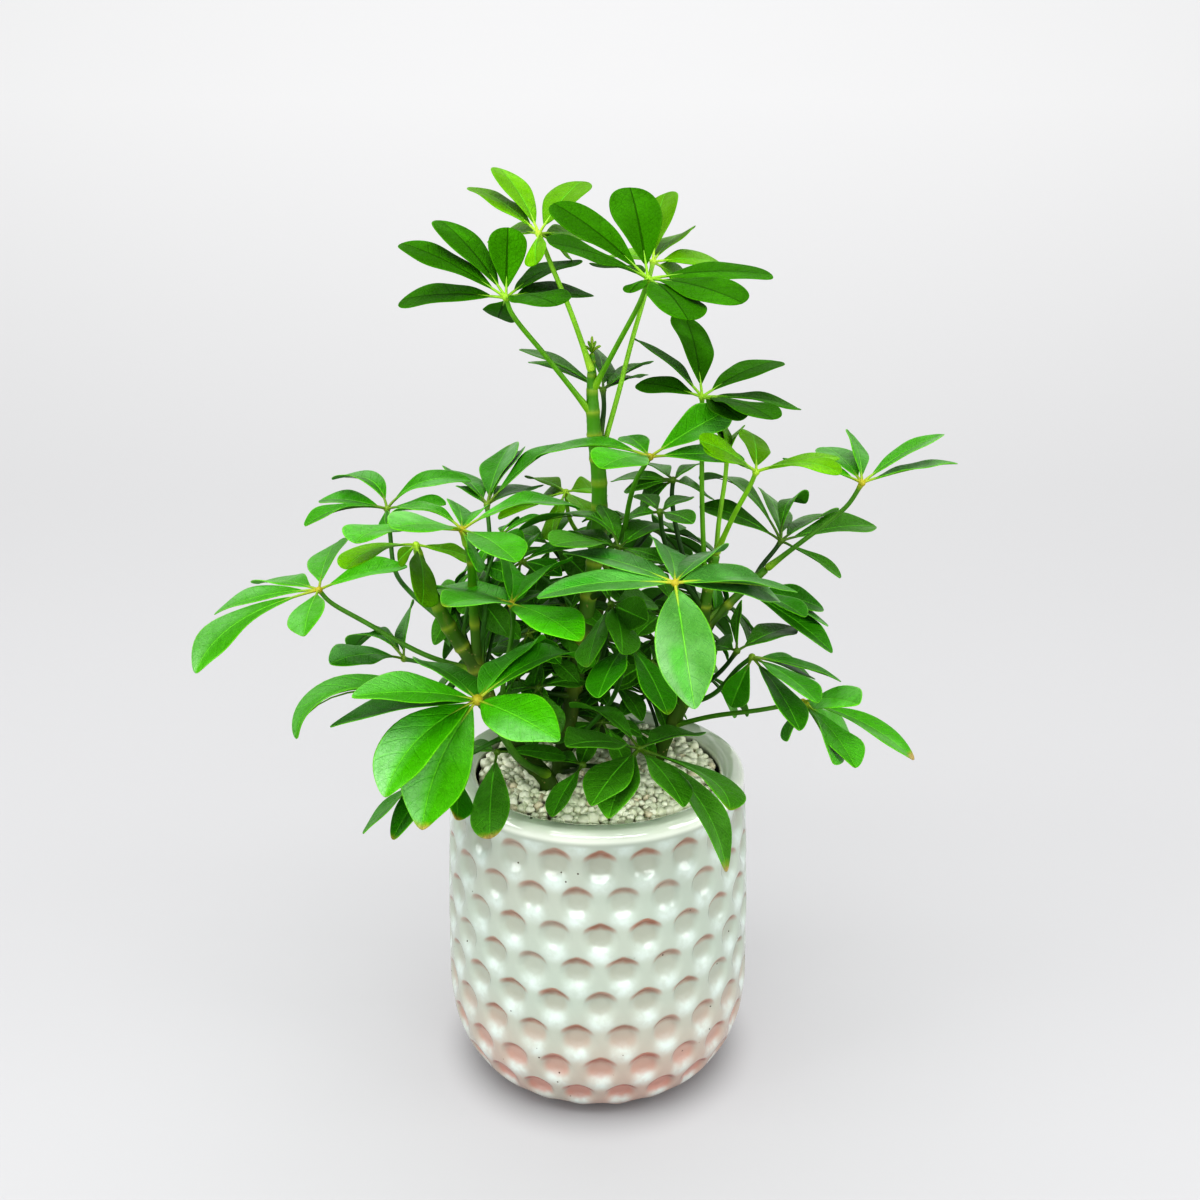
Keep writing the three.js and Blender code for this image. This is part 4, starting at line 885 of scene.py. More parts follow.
def bark_finish(settings):
    """Olive bark low down that turns to smooth green skin near the growing tips."""
    paint = Paint("Stem bark", {"Specular IOR Level": 0.4})
    streaks = paint.noise(120, 4, 0.65, stretch=(1.0, 1.0, 0.18))
    pores = paint.cells(420).fall(0.12, 0.3) * paint.noise(150, 2).rise(0.5, 0.62)
    ripe = (paint.value("youth") + (streaks - 0.5) * 0.35).clamped()
    colour = paint.layered(
        tuple(settings.old_bark),
        (ripe.rise(0.2, 0.8), tuple(settings.young_bark)),
        (streaks.rise(0.55, 0.75) * 0.4, linear(134, 120, 58)),
        (streaks.fall(0.25, 0.42) * 0.35, linear(50, 62, 18)),
        (paint.value("collar") * 0.7, linear(176, 186, 62)),
        (pores * (1 - ripe) * 0.8, linear(176, 158, 110)),
    )
    return paint.finish(
        Base_Color=colour,
        Roughness=0.62 - ripe * 0.2,
        Normal=paint.bump(streaks * 0.8 + pores * 0.6, 0.0007, 0.7),
    )


def leaf_marks(paint):
    """The chart, and masks that every leaf face shares: lateral veins, fine net, slow and quick
    mottling, and how near a point is to the margin."""
    across, along = paint.chart()
    out = abs(across * 2 - 1)
    ladder = along * 9 - out ** 1.2 * 1.5 + across.over(0.5) * 0.5 + paint.noise(70, 1) * 0.5
    laterals = abs(ladder.fract() - 0.5).fall(0.015, 0.1) * out.fall(0.82, 1.0)
    net = paint.cells(520, "DISTANCE_TO_EDGE").fall(0.02, 0.12)
    rim = paint.value("rim").fall(0.1, 0.4)
    return across, along, laterals, net, paint.noise(45, 2), paint.noise(700, 3, 0.6), rim


def browning(paint, settings):
    """Two coats that dry the tip: a narrow yellow fringe, then brown, both with a ragged edge."""
    dry = paint.value("brown") + (paint.noise(220, 3) - 0.5) * 0.6
    return (
        (dry.rise(0.25, 0.6) * 0.6, linear(140, 150, 40)),
        (dry.rise(0.5, 0.85) * 0.85, tuple(settings.browned)),
    )


def upper_finish(tone, settings):
    """Glossy upper face: pale midrib, thin light margin, shallow veins."""
    base = tuple(getattr(settings, tone))
    gloss = GLOSS[tone]
    paint = Paint("Leaf upper " + tone, {
        "Specular IOR Level": 0.35 * gloss, "Specular Tint": LEAF_GLINT, "Coat Roughness": 0.3,
    })
    across, along, laterals, net, slow, quick, rim = leaf_marks(paint)
    shade = paint.value("shade")
    matt = tone in ("shaded", "young")
    backlit = tone == "shaded"
    deep = dimmed(base, 0.42)
    lift = 1.2 if tone == "young" else 1.5
    light = tuple(min(1.0, lift * channel + 0.004) for channel in base)
    # One half of each blade turns from the light
    turned = abs(across.rise(0.46, 0.54) - shade.rise(0.45, 0.55))
    sheen = paint.value("sheen") * (0.45 + 0.5 * slow) * (0.7 + 0.5 * quick)
    colour = paint.layered(
        deep,
        ((shade * 0.75 + slow * 0.5 - 0.05).clamped(), base),
        (slow.rise(0.5, 0.8) * 0.45, light),
        (quick.rise(0.45, 0.75) * (0.45 if tone == "dark" else 0.25), deep),
        (turned * 0.4, deep),
        ((sheen * 0.8).clamped(), linear(140, 184, 136)),
    )
    if tone == "pale":
        # The pale leaf's painted sheen leaves off on a darker patch right of the midrib
        sheen_gap = across.rise(0.5, 0.56) * across.fall(0.7, 0.86)
        sheen_gap = sheen_gap * along.rise(0.3, 0.4) * along.fall(0.75, 0.9)
        colour = paint.mix(sheen_gap * slow.rise(0.3, 0.5) * 0.8, colour, linear(60, 150, 30))
    rib = (paint.value("rib") / (0.75 - along * 0.55)).fall(0.35, 1.0)
    edging = 0.12 if matt else 0.3 if tone == "dark" else 0.55
    wrinkle = paint.noise(190, 2, 0.6)
    colour = paint.layered(
        colour,
        (net * 0.1 + laterals * (0.06 if matt else 0.12), deep if backlit else light),
        (rib * 0.7, dimmed(deep, 0.6) if backlit else tuple(settings.midrib)),
        (rim * edging, tuple(settings.margin)),
        *browning(paint, settings),
        # Painted shade in the troughs of the wrinkles
        (wrinkle.fall(0.3, 0.55) * 0.2, deep),
    )
    relief = quick * 0.3 - laterals * (0.2 if matt else 0.4) - net * 0.25 - rib * 0.8
    relief = relief + slow * 1.6 + wrinkle * 1.3
    return paint.finish(
        Base_Color=colour,
        Roughness=0.32 + quick * 0.18 + laterals * 0.05,
        Coat_Weight=(slow.rise(0.42, 0.7) * 0.5 * gloss).clamped(),
        Normal=paint.bump(relief, 0.001, 0.7),
    )


def under_finish(tone, settings):
    """Duller lower face, a little lighter, with darker veins."""
    paint = Paint("Leaf under " + tone, {"Specular IOR Level": 0.2, "Specular Tint": LEAF_GLINT})
    across, along, laterals, net, slow, quick, rim = leaf_marks(paint)
    base = tuple(min(1.0, 1.1 * channel + 0.002) for channel in getattr(settings, tone))
    deep = dimmed(base, 0.6)
    rib = (paint.value("rib") / (0.8 - along * 0.5)).fall(0.4, 1.0)
    colour = paint.layered(
        deep,
        ((paint.value("shade") * 0.6 + slow * 0.6 - 0.1).clamped(), base),
        (quick.rise(0.4, 0.8) * 0.2, deep),
        (laterals * 0.3 + net * 0.12, dimmed(deep, 0.6)),
        (rib * 0.7, dimmed(deep, 0.5)),
        (rim * 0.4, tuple(settings.margin)),
        *browning(paint, settings),
    )
    relief = quick * 0.4 + laterals * 0.8 + net * 0.3 + slow * 0.5
    return paint.finish(
        Base_Color=colour,
        Roughness=0.5 + quick * 0.2,
        Normal=paint.bump(relief, 0.0006, 0.6),
    )


# How glossy each kind of leaf is, and the tint of its glint
GLOSS = {"bright": 0.9, "young": 0.25, "pale": 1.4, "mid": 0.8, "dark": 0.8, "shaded": 0.05}
LEAF_GLINT = (0.55, 1.0, 0.2, 1.0)

# Colours of each kind of stalk, along it and at its ends; the bright, mid, dark and shaded kinds
# are painted lighter or darker for the light where the leaf hangs
STALK_COLOURS = {
    "bright": ((74, 128, 22), (150, 190, 50)),
    "young": ((128, 184, 36), (168, 204, 60)),
    "pale": ((110, 170, 40), (166, 190, 60)),
    "mid": ((58, 112, 24), (120, 150, 40)),
    "dark": ((34, 74, 8), (84, 118, 20)),
    "shaded": ((96, 156, 20), (140, 184, 40)),
}


def stalk_finish(tone):
    """Smooth stalk skin: paler swollen ends, faint lengthwise streaks."""
    along_colour, end_colour = (linear(*colour) for colour in STALK_COLOURS[tone])
    paint = Paint("Leaf stalk " + tone, {"Specular IOR Level": 0.4})
    streaks = paint.noise(260, 3, 0.6, stretch=(1.0, 1.0, 0.25))
    warm = linear(176, 128, 24) if tone in ("bright", "pale") else end_colour
    colour = paint.layered(
        along_colour,
        (streaks.rise(0.35, 0.75) * 0.5, dimmed(along_colour, 0.6)),
        (paint.value("collar") * 0.85, end_colour),
        (paint.value("hub") * (0.35 + 0.5 * streaks), warm),
    )
    return paint.finish(
        Base_Color=colour,
        Roughness=0.38 + streaks * 0.2,
        Normal=paint.bump(streaks, 0.0005, 0.5),
    )


# ---------------------------------------------------------------- meshes


def finished(name, bm, materials, slot, *nodes, subdivide=0):
    """Turns a bmesh into a piece that rides on the plant and stands for the given nodes."""
    piece = smooth_object(name, bm, materials)
    if subdivide:
        soften = piece.modifiers.new("Soften", "SUBSURF")
        soften.levels = soften.render_levels = subdivide
    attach(piece, "root")
    if nodes:
        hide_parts(*nodes)


def smooth_object(name, bm, materials):
    """Turns a bmesh into a smoothly shaded object of the scene."""
    mesh = bpy.data.meshes.new(name)
    bm.to_mesh(mesh)
    bm.free()
    for material in materials:
        mesh.materials.append(material)
    mesh.polygons.foreach_set("use_smooth", [True] * len(mesh.polygons))
    piece = bpy.data.objects.new(name, mesh)
    bpy.context.scene.collection.objects.link(piece)
    return piece


def of_type(items, kind):
    return [item for item in items if isinstance(item, kind)]


def ring_frames(points):
    """One turning frame a point, carried along the line without twist."""
    frames = []
    normal = None
    for index, point in enumerate(points):
        before = points[max(0, index - 1)]
        after = points[min(len(points) - 1, index + 1)]
        along = (after - before).normalized()
        if normal is None:
            helper = Vector((1, 0, 0)) if abs(along.x) < 0.9 else Vector((0, 1, 0))
            normal = along.cross(helper)
        normal = (normal - along * normal.dot(along)).normalized()
        side = along.cross(normal)
        turned = Matrix((normal, side, along)).transposed().to_4x4()
        frames.append(Matrix.Translation(point) @ turned)
    return frames


def add_tube(bm, points, radii, sides, layers, material=0):
    """A closed round tube through points in metres. layers maps a vertex layer to one value a
    ring."""
    frames = ring_frames(points)
    made = bmesh.ops.create_circle(bm, segments=sides, radius=1.0)["verts"]
    edges = list({edge for vert in made for edge in vert.link_edges})
    bmesh.ops.transform(bm, matrix=frames[0] @ Matrix.Scale(radii[0], 4), verts=made)
    rings = [made]
    faces = []
    first_edges = edges
    for index in range(1, len(points)):
        new = bmesh.ops.extrude_edge_only(bm, edges=edges)["geom"]
        made = of_type(new, bmesh.types.BMVert)
        faces += of_type(new, bmesh.types.BMFace)
        edges = [
            edge for edge in of_type(new, bmesh.types.BMEdge)
            if all(vert in made for vert in edge.verts)
        ]
        last = frames[index - 1] @ Matrix.Scale(radii[index - 1], 4)
        here = frames[index] @ Matrix.Scale(radii[index], 4)
        bmesh.ops.transform(bm, matrix=here @ last.inverted(), verts=made)
        rings.append(made)
    for loop in (first_edges, edges):
        faces += bmesh.ops.edgeloop_fill(bm, edges=loop)["faces"]
    for face in faces:
        face.material_index = material
    bmesh.ops.recalc_face_normals(bm, faces=faces)
    for layer, values in layers.items():
        for ring, value in zip(rings, values):
            for vert in ring:
                vert[layer] = value


def view_ray(across, down):
    """The direction of sight through a pixel of the reference view."""
    right = (across - VIEW_CENTRE) / VIEW_FOCAL
    up = (VIEW_CENTRE - down) / VIEW_FOCAL
    c, s = math.cos(VIEW_PITCH), math.sin(VIEW_PITCH)
    return (right, c + up * s, up * c - s)


def place(spot):
    """The place in millimetres of a pixel at a depth, in full precision."""
    across, down, depth = spot
    ray = view_ray(across, down)
    far = (depth - VIEW_POINT[1]) / ray[1]
    return tuple(start + far * step for start, step in zip(VIEW_POINT, ray))


def places_of(spots):
    """The places of a row of pixels with depths, as vectors."""
    return [Vector(place(spot)) for spot in spots]


def place_at_distance(pixel, start, distance, side):
    """Where the line of sight through a pixel lies at a distance from start, near or far side."""
    ray = Vector(view_ray(*pixel))
    offset = Vector(VIEW_POINT) - start
    a = ray.length_squared
    half = ray.dot(offset)
    room = half * half - a * (offset.length_squared - distance * distance)
    return Vector(VIEW_POINT) + ray * ((side * math.sqrt(max(0.0, room)) - half) / a)


def scatter(number):
    """A repeatable draw from 0 to 1."""
    wave = math.sin(number * 12.9898 + 4.1) * 43758.5453
    return wave - math.floor(wave)


def centripetal(places, share):
    """A point on the smooth line through the places; share runs evenly from place to place."""
    count = len(places)
    at = share * (count - 1)
    index = min(int(at), count - 2)
    step = at - index
    p1, p2 = places[index], places[index + 1]
    p0 = places[index - 1] if index > 0 else p1 * 2 - p2
    p3 = places[index + 2] if index + 2 < count else p2 * 2 - p1
    gaps = [max(1e-4, (b - a).length_squared ** 0.25) for a, b in ((p0, p1), (p1, p2), (p2, p3))]
    start = (p1 - p0) / gaps[0] - (p2 - p0) / (gaps[0] + gaps[1]) + (p2 - p1) / gaps[1]
    end = (p2 - p1) / gaps[1] - (p3 - p1) / (gaps[1] + gaps[2]) + (p3 - p2) / gaps[2]
    start, end = start * gaps[1], end * gaps[1]
    square, cube = step * step, step ** 3
    return (
        p1 + start * step + (p2 * 3 - p1 * 3 - start * 2 - end) * square
        + (p1 * 2 - p2 * 2 + start + end) * cube
    )


def line_through(places, samples):
    """Points along the smooth line through the places, and the line's length."""
    points = [centripetal(places, i / samples) for i in range(samples + 1)]
    return points, sum((b - a).length for a, b in zip(points, points[1:]))


def run_of(values, share):
    """Reads evenly spaced values at a share from 0 to 1."""
    at = share * (len(values) - 1)
    index = min(int(at), len(values) - 2)
    return values[index] + (values[index + 1] - values[index]) * (at - index)


# ---------------------------------------------------------------- the pot


def wall_radius(height):
    """The undented wall: a quarter ellipse up to the belly, then a slow inward lean."""
    if height >= BELLY_HEIGHT:
        rise = (height - BELLY_HEIGHT) / (SHOULDER_HEIGHT - BELLY_HEIGHT)
        return POT_RADIUS - SHOULDER_LEAN * rise * rise
    turn = math.acos(1 - max(0.0, height) / BELLY_HEIGHT)
    return FOOT_RADIUS + (POT_RADIUS - FOOT_RADIUS) * math.sin(turn)


def wall_points(top, step):
    """[radius, height, distance below the first dents' centres] down the wall, evenly spaced."""
    fine = 0.05
    heights = [top - fine * i for i in range(int(top / fine) + 1)]
    trail = [(wall_radius(h), h) for h in heights]
    distance = [0.0]
    for (ra, ha), (rb, hb) in zip(trail, trail[1:]):
        distance.append(distance[-1] + math.hypot(rb - ra, hb - ha))
    origin = distance[min(range(len(trail)), key=lambda i: abs(trail[i][1] - FIRST_DENT_HEIGHT))]
    count = round(distance[-1] / step)
    points = []
    at = 0
    for i in range(count + 1):
        goal = distance[-1] * i / count
        while at < len(distance) - 1 and distance[at] < goal:
            at += 1
        points.append((*trail[at], distance[at] - origin))
    return points


def smooth(low, high, value):
    share = min(1.0, max(0.0, (value - low) / (high - low)))
    return share * share * (3 - 2 * share)


def dent_at(turn, rows, radius):
    """How far the wall is pressed in, 0 to 1, at half turns round and rows down."""
    pressed = 0.0
    for row in (math.floor(rows), math.floor(rows) + 1):
        if not 0 <= row < DENT_ROWS:
            continue
        offset = (turn - row % 2) / 2
        aside = (offset - round(offset)) * radius * 2 * math.pi / DENTS_AROUND
        above = (row - rows) * DENT_PITCH
        narrow = min(1.0, radius / (POT_RADIUS - 6)) ** 0.8
        reach = math.hypot(aside / narrow, above) / DENT_RADIUS
        up = 0.5 + 0.5 * above / max(0.01, math.hypot(aside, above))
        steep = 1 - smooth(0.62, 1.12, reach)
        gentle = 1 - smooth(0.34, 1.32, reach)
        pressed = max(pressed, gentle + (steep - gentle) * up)
    return pressed


class PLANT_OT_pot(bpy.types.Operator):
    """Spins the pot from its profile and presses nine rows of dents into its wall"""

    bl_idname = "plant.pot"
    bl_label = "Pot"

    def execute(self, context):
        settings = context.scene.plant_pot
        profile, wall_high, wall_low = self.profile()
        bm = bmesh.new()
        chart = bm.loops.layers.uv.new("UVMap")
        radius_layer = bm.verts.layers.float.new("wall_radius")
        way_layer = bm.verts.layers.float.new("way")
        self.spin(bm, profile, way_layer)
        half_turn = math.pi / DENTS_AROUND
        turns = {
            vert: (math.atan2(vert.co.y, vert.co.x) - DENT_TURN) / half_turn for vert in bm.verts
        }
        for face in bm.faces:
            corners = [turns[vert] for vert in face.verts]
            seam = max(corners) - min(corners) > DENTS_AROUND
            for loop, turn in zip(face.loops, corners):
                if seam and turn < 0:
                    turn += 2 * DENTS_AROUND
                loop[chart].uv = (turn, loop.vert[way_layer] / DENT_PITCH)
        for vert, turn in turns.items():
            way = vert[way_layer]
            radius = math.hypot(vert.co.x, vert.co.y)
            vert[radius_layer] = radius / MM
            if wall_high <= way <= wall_low and radius > (FOOT_RADIUS - 1) * MM:
                press = dent_at(turn, way / DENT_PITCH, radius / MM)
                if press > 0:
                    low = smooth(0, BELLY_HEIGHT * MM, vert.co.z)
                    inward = Vector((vert.co.x / radius, vert.co.y / radius, (low - 1) * 0.7))
                    vert.co -= inward.normalized() * settings.dent_depth * press
        finished("Pot_glazed", bm, [glaze_finish(settings)], "glazed_pot", "pot")
        return {"FINISHED"}

    def profile(self):
        """[radius, height, way down the wall] from the middle of the foot, over the rim, to the
        middle of the floor inside, and the ways between which the wall is dented."""
        wall = wall_points(RIM_HEIGHT - RIM_ROUND, WALL_STEP)
        outer = wall_radius(RIM_HEIGHT - RIM_ROUND)
        lip = []
        for i in range(LIP_STEPS):
            angle = math.pi / 2 * i / LIP_STEPS
            lip.append((
                LIP_OUTER + (outer - LIP_OUTER) * math.sin(angle),
                RIM_HEIGHT - RIM_ROUND * (1 - math.cos(angle)),
            ))
        inner = [(LIP_INNER + 1.2, RIM_HEIGHT - 0.1), (LIP_INNER - 1.2, RIM_HEIGHT - 0.9)]
        inner += [(MOUTH_RADIUS + 0.6, MOUTH_HEIGHT + 0.9), (MOUTH_RADIUS, MOUTH_HEIGHT - 0.4)]
        throat = [(MOUTH_RADIUS + 0.4, MOUTH_HEIGHT - 4), (MOUTH_RADIUS + 2.5, NECK_HEIGHT + 5)]
        neck = wall_radius(NECK_HEIGHT) - CAVITY_WALL
        cavity = [
            (neck, NECK_HEIGHT), (POT_RADIUS - CAVITY_WALL - 1, 100),
            (POT_RADIUS - CAVITY_WALL, BELLY_HEIGHT), (68, 26), (FOOT_RADIUS, FLOOR_HEIGHT),
            (30, FLOOR_HEIGHT), (0, FLOOR_HEIGHT),
        ]
        rounded_foot = [(FOOT_RADIUS - 1.5, 0.0), (40, 0), (0, 0)]
        profile = [(r, h, 0.0) for r, h in reversed(rounded_foot)]
        profile += [(r, h, d) for r, h, d in reversed(wall)]
        top = wall[0][2]
        # Past the wall, the way only has to stay clear of the rows of dents
        profile += [(r, h, top - 2 - i) for i, (r, h) in enumerate(reversed(lip))]
        profile += [(r, h, top - 20) for r, h in inner + throat + cavity]
        return profile, top, wall[-1][2]

    def spin(self, bm, profile, way_layer):
        """One sector is spun in fine steps, then the sector goes round the pot."""
        start = [bm.verts.new((r * MM, 0, h * MM)) for r, h, _ in profile]
        for vert, (_, _, way) in zip(start, profile):
            vert[way_layer] = way
        edges = [bm.edges.new(pair) for pair in zip(start, start[1:])]
        about = dict(cent=(0, 0, 0), axis=(0, 0, 1), dvec=(0, 0, 0), use_merge=False)
        sector = 2 * math.pi / DENTS_AROUND
        bmesh.ops.spin(
            bm, geom=start + edges, **about, angle=sector, steps=SECTOR_STEPS, use_duplicate=False
        )
        bmesh.ops.spin(
            bm, geom=bm.verts[:] + bm.edges[:] + bm.faces[:], **about,
            angle=2 * math.pi - sector, steps=DENTS_AROUND - 1, use_duplicate=True,
        )
        bmesh.ops.remove_doubles(bm, verts=bm.verts[:], dist=1e-6)
        bmesh.ops.recalc_face_normals(bm, faces=bm.faces[:])


# ---------------------------------------------------------------- soil and chips


class PLANT_OT_soil(bpy.types.Operator):
    """Gives the packed soil its crumbly finish"""

    bl_idname = "plant.soil"
    bl_label = "Soil"

    def execute(self, context):
        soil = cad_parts["soil"]
        soil.data.materials.clear()
        soil.data.materials.append(soil_finish(context.scene.plant_chips))
        return {"FINISHED"}


def stem_spots(height):
    """Centres of the stems where they pass a height in millimetres, with their radii."""
    spots = []
    for (through, radii), *_ in STEMS.values():
        points, _ = line_through(places_of(through), SPOT_SAMPLES)
        samples = [(point, run_of(radii, i / SPOT_SAMPLES)) for i, point in enumerate(points)]
        spots.append(min(samples, key=lambda sample: abs(sample[0].z - height)))
    return spots


class PLANT_OT_chips(bpy.types.Operator):
    """Fills the mouth of the pot with broken marble chips"""

    bl_idname = "plant.chips"
    bl_label = "Stone chips"

    def execute(self, context):
        settings = context.scene.plant_chips
        draw = random.Random(CHIP_SEED)
        seats = self.seats(settings.spacing / MM, draw)
        bm = bmesh.new()
        tint = bm.verts.layers.float.new("tint")
        deep = bm.verts.layers.float.new("depth")
        bmesh.ops.create_cube(bm, size=1.0)
        bmesh.ops.bevel(
            bm, geom=bm.edges[:], offset=CHIP_BEVEL, segments=1, profile=0.5, affect="EDGES",
            material=-1,
        )
        corners = len(bm.verts)
        while len(bm.verts) < corners * len(seats):
            bmesh.ops.duplicate(bm, geom=bm.verts[:] + bm.edges[:] + bm.faces[:])
        chips = self.islands(bm)
        for (x, y, layer), chip in zip(seats, chips):
            size = settings.spacing * draw.choice(CHIP_SIZES) * draw.uniform(0.9, 1.1)
            z = CHIP_HEIGHT + CHIP_LAYERS[layer] + draw.uniform(-0.7, 0.7)
            z -= 0.8 * smooth(MOUTH_RADIUS - 10, MOUTH_RADIUS - 3, math.hypot(x, y))
            shape = Matrix.Diagonal([size * draw.uniform(0.76, 1.2) for _ in range(3)] + [1])
            turned = Matrix.Rotation(draw.uniform(0, 2 * math.pi), 4, "Z")
            for axis in "XY":
                turned @= Matrix.Rotation(draw.uniform(-CHIP_TILT, CHIP_TILT), 4, axis)
            seat = Matrix.Translation((x * MM, y * MM, z * MM)) @ turned @ shape
            colour = draw.random()
            for vert in chip:
                jitter = Vector(draw.uniform(-CHIP_JITTER, CHIP_JITTER) for _ in range(3))
                vert.co = seat @ (vert.co + jitter)
                vert[tint] = colour
                # Painted shade: the lower layer is darker than the top one
                vert[deep] = (0.5, 0.0)[layer]
        spare = [vert for chip in chips[len(seats):] for vert in chip]
        bmesh.ops.delete(bm, geom=spare, context="VERTS")
        self.add_bed(bm, deep)
        finished(
            "Stone_chips_loose", bm, [chip_finish(settings)], "marble_chips", "stone_chips"
        )
        return {"FINISHED"}

    def add_bed(self, bm, deep):
        """The plate under the chips that hides the soil between them."""
        bed = bmesh.ops.create_circle(
            bm, cap_ends=True, cap_tris=False, segments=44, radius=(MOUTH_RADIUS - 1.1) * MM
        )["verts"]
        bmesh.ops.translate(bm, verts=bed, vec=(0, 0, (CHIP_HEIGHT - BED_DEPTH) * MM))
        skirt = bmesh.ops.extrude_face_region(bm, geom=list(bed[0].link_faces))["geom"]
        lowered = of_type(skirt, bmesh.types.BMVert)
        bmesh.ops.translate(bm, verts=lowered, vec=(0, 0, -BED_THICKNESS * MM))
        # The bed takes the full painted shade
        for vert in {*bed, *lowered}:
            if vert.is_valid:
                vert[deep] = 1.0

    def islands(self, bm):
        """The corners of each separate body, body by body."""
        found, seen = [], set()
        for first in bm.verts:
            if first in seen:
                continue
            seen.add(first)
            body = [first]
            for vert in body:
                for edge in vert.link_edges:
                    other = edge.other_vert(vert)
                    if other not in seen:
                        seen.add(other)
                        body.append(other)
            found.append(body)
        return found

    def seats(self, spacing, draw):
        """Places of the chips: two layers of a sunflower's spiral, clear of the stems."""
        stems = stem_spots(CHIP_HEIGHT)
        reach = MOUTH_RADIUS - 2.6
        golden = math.pi * (3 - math.sqrt(5))
        seats = []
        for layer in (0, 1):
            for number in range(int((reach / (SPIRAL_SPREAD * spacing)) ** 2)):
                away = SPIRAL_SPREAD * spacing * math.sqrt(number + 0.5)
                x = away * math.cos(number * golden + layer) + draw.uniform(-0.3, 0.3) * spacing
                y = away * math.sin(number * golden + layer) + draw.uniform(-0.3, 0.3) * spacing
                clear = all(math.hypot(x - c.x, y - c.y) > radius + 1.6 for c, radius in stems)
                if clear and math.hypot(x, y) < reach:
                    seats.append((x, y, layer))
        return seats


# ---------------------------------------------------------------- stems


class PLANT_OT_stems(bpy.types.Operator):
    """Sweeps the four woody stems with their leaf scars and growing tip"""

    bl_idname = "plant.stems"
    bl_label = "Stems"

    def execute(self, context):
        bark = bark_finish(context.scene.plant_stems)
        for name, runs in STEMS.items():
            bm = bmesh.new()
            youth = bm.verts.layers.float.new("youth")
            collar = bm.verts.layers.float.new("collar")
            for number, (through, radii) in enumerate(runs):
                self.add_stem(bm, places_of(through), radii, youth, collar, number)
            if name == "stem_main":
                self.add_growing_tip(bm, youth, collar)
            finished(name.replace("stem", "Stem"), bm, [bark], "stem_bark", name)
        return {"FINISHED"}

    def add_stem(self, bm, places, radii, youth, collar, number):
        """Sweeps one run, with a ring where each old leaf fell and a rounded end."""
        _, length = line_through(places, STEM_SAMPLES)
        count = max(16, round(length / STEM_RING))
        points, sizes, ages, collars = [], [], [], []
        for i in range(count + 1):
            share = i / count
            point = centripetal(places, share)
            travelled = share * length
            nearest = abs((travelled / SCAR_GAP + 0.3 * number) % 1.0 - 0.5) * SCAR_GAP
            knot = math.exp(-((nearest / SCAR_WIDTH) ** 2))
            uneven = 0.13 * knot + 0.05 * (scatter(i * 1.7 + number) - 0.5)
            radius = run_of(radii, share) * (1 + uneven)
            points.append(point * MM)
            sizes.append(radius * MM)
            ages.append(smooth(*GREENING, point.z))
            collars.append(0.75 * knot * smooth(*SCARS_SHOW, point.z))
        last = points[-1] - points[-2]
        for grow, shrink in STEM_END:
            points.append(points[count] + last.normalized() * sizes[count] * grow)
            sizes.append(sizes[count] * shrink)
            ages.append(ages[count])
            collars.append(0.4)
        add_tube(bm, points, sizes, STEM_SIDES, {youth: ages, collar: collars})

    def add_growing_tip(self, bm, youth, collar):
        """Tiny folded leaves at the top of the main stem."""
        base, *buds = places_of(TIP_BUDS)
        for number, end in enumerate(buds):
            bow = base.lerp(end, 0.5) + Vector((0, 0, 1.2))
            points = [
                (base.lerp(bow, share) * (1 - share) + bow.lerp(end, share) * share) * MM
                for share, _ in BUD_RADII
            ]
            radii = [radius * MM for _, radius in BUD_RADII]
            marks = {youth: [1] * len(radii), collar: [0.2 + 0.1 * number] * len(radii)}
            add_tube(bm, points, radii, STALK_SIDES, marks)


# ---------------------------------------------------------------- leaves


def seen_leaflet(hub, leaf, tip):
    """Places a leaflet from the pixel of its tip and the width that it shows."""
    across, down, shown, side, bend, reach = (*tip, *(None,) * (6 - len(tip)))
    length = reach or leaf.get("length", LEAFLET_LENGTH)
    way = side or (TOWARDS if down > leaf["hub"][1] else AWAY)
    end = place_at_distance((across, down), hub, length, way)
    chord = end - hub
    centre = hub + chord * 0.5
    sight = centre - Vector(VIEW_POINT)
    scale = (sight.y * math.cos(VIEW_PITCH) - sight.z * math.sin(VIEW_PITCH)) / VIEW_FOCAL
    sight.normalize()
    along = chord.normalized()
    facing = (along * sight.dot(along) - sight).normalized()
    sideways = along.cross(facing)
    width = max(shown * scale, min(LEAFLET_WIDTH, BLADE_SHAPE * chord.length))
    cosine = min(1.0, shown * scale / width)
    sine = math.sqrt(1 - cosine * cosine) * (1 if sideways.z >= 0 else -1)
    front = facing * cosine + sideways * sine
    if bend:
        middle = Vector(place((*bend, centre.y)))
    else:
        middle = centre + front * (BLADE_ARCH * chord.length)
    return middle, end, front, width


def whorl_leaflet(hub, spot, leaf, number):
    """Places the numbered leaflet of a whorl that is laid out round an axis."""
    axis = Vector(leaf["axis"]).normalized()
    level = Vector((axis.z, 0, -axis.x)).normalized()
    stray = WHORL_STRAY * scatter(number * 7.3 + spot[0])
    turn = (number + stray) / leaf["count"] * 2 * math.pi
    radial = Matrix.Rotation(turn, 3, axis) @ level
    length = leaf["length"] * (0.85 + 0.25 * scatter(number * 3.1 + spot[2]))
    droop = leaf["droop"] + 0.25 * (scatter(number * 5.7 + spot[1]) - 0.5)
    along = radial * math.cos(droop) - axis * math.sin(droop)
    front = (axis - along * axis.dot(along)).normalized()
    end = hub + along * length
    middle = hub.lerp(end, 0.5) + front * (HIDDEN_ARCH * length)
    return middle, end, front, BLADE_SHAPE * length


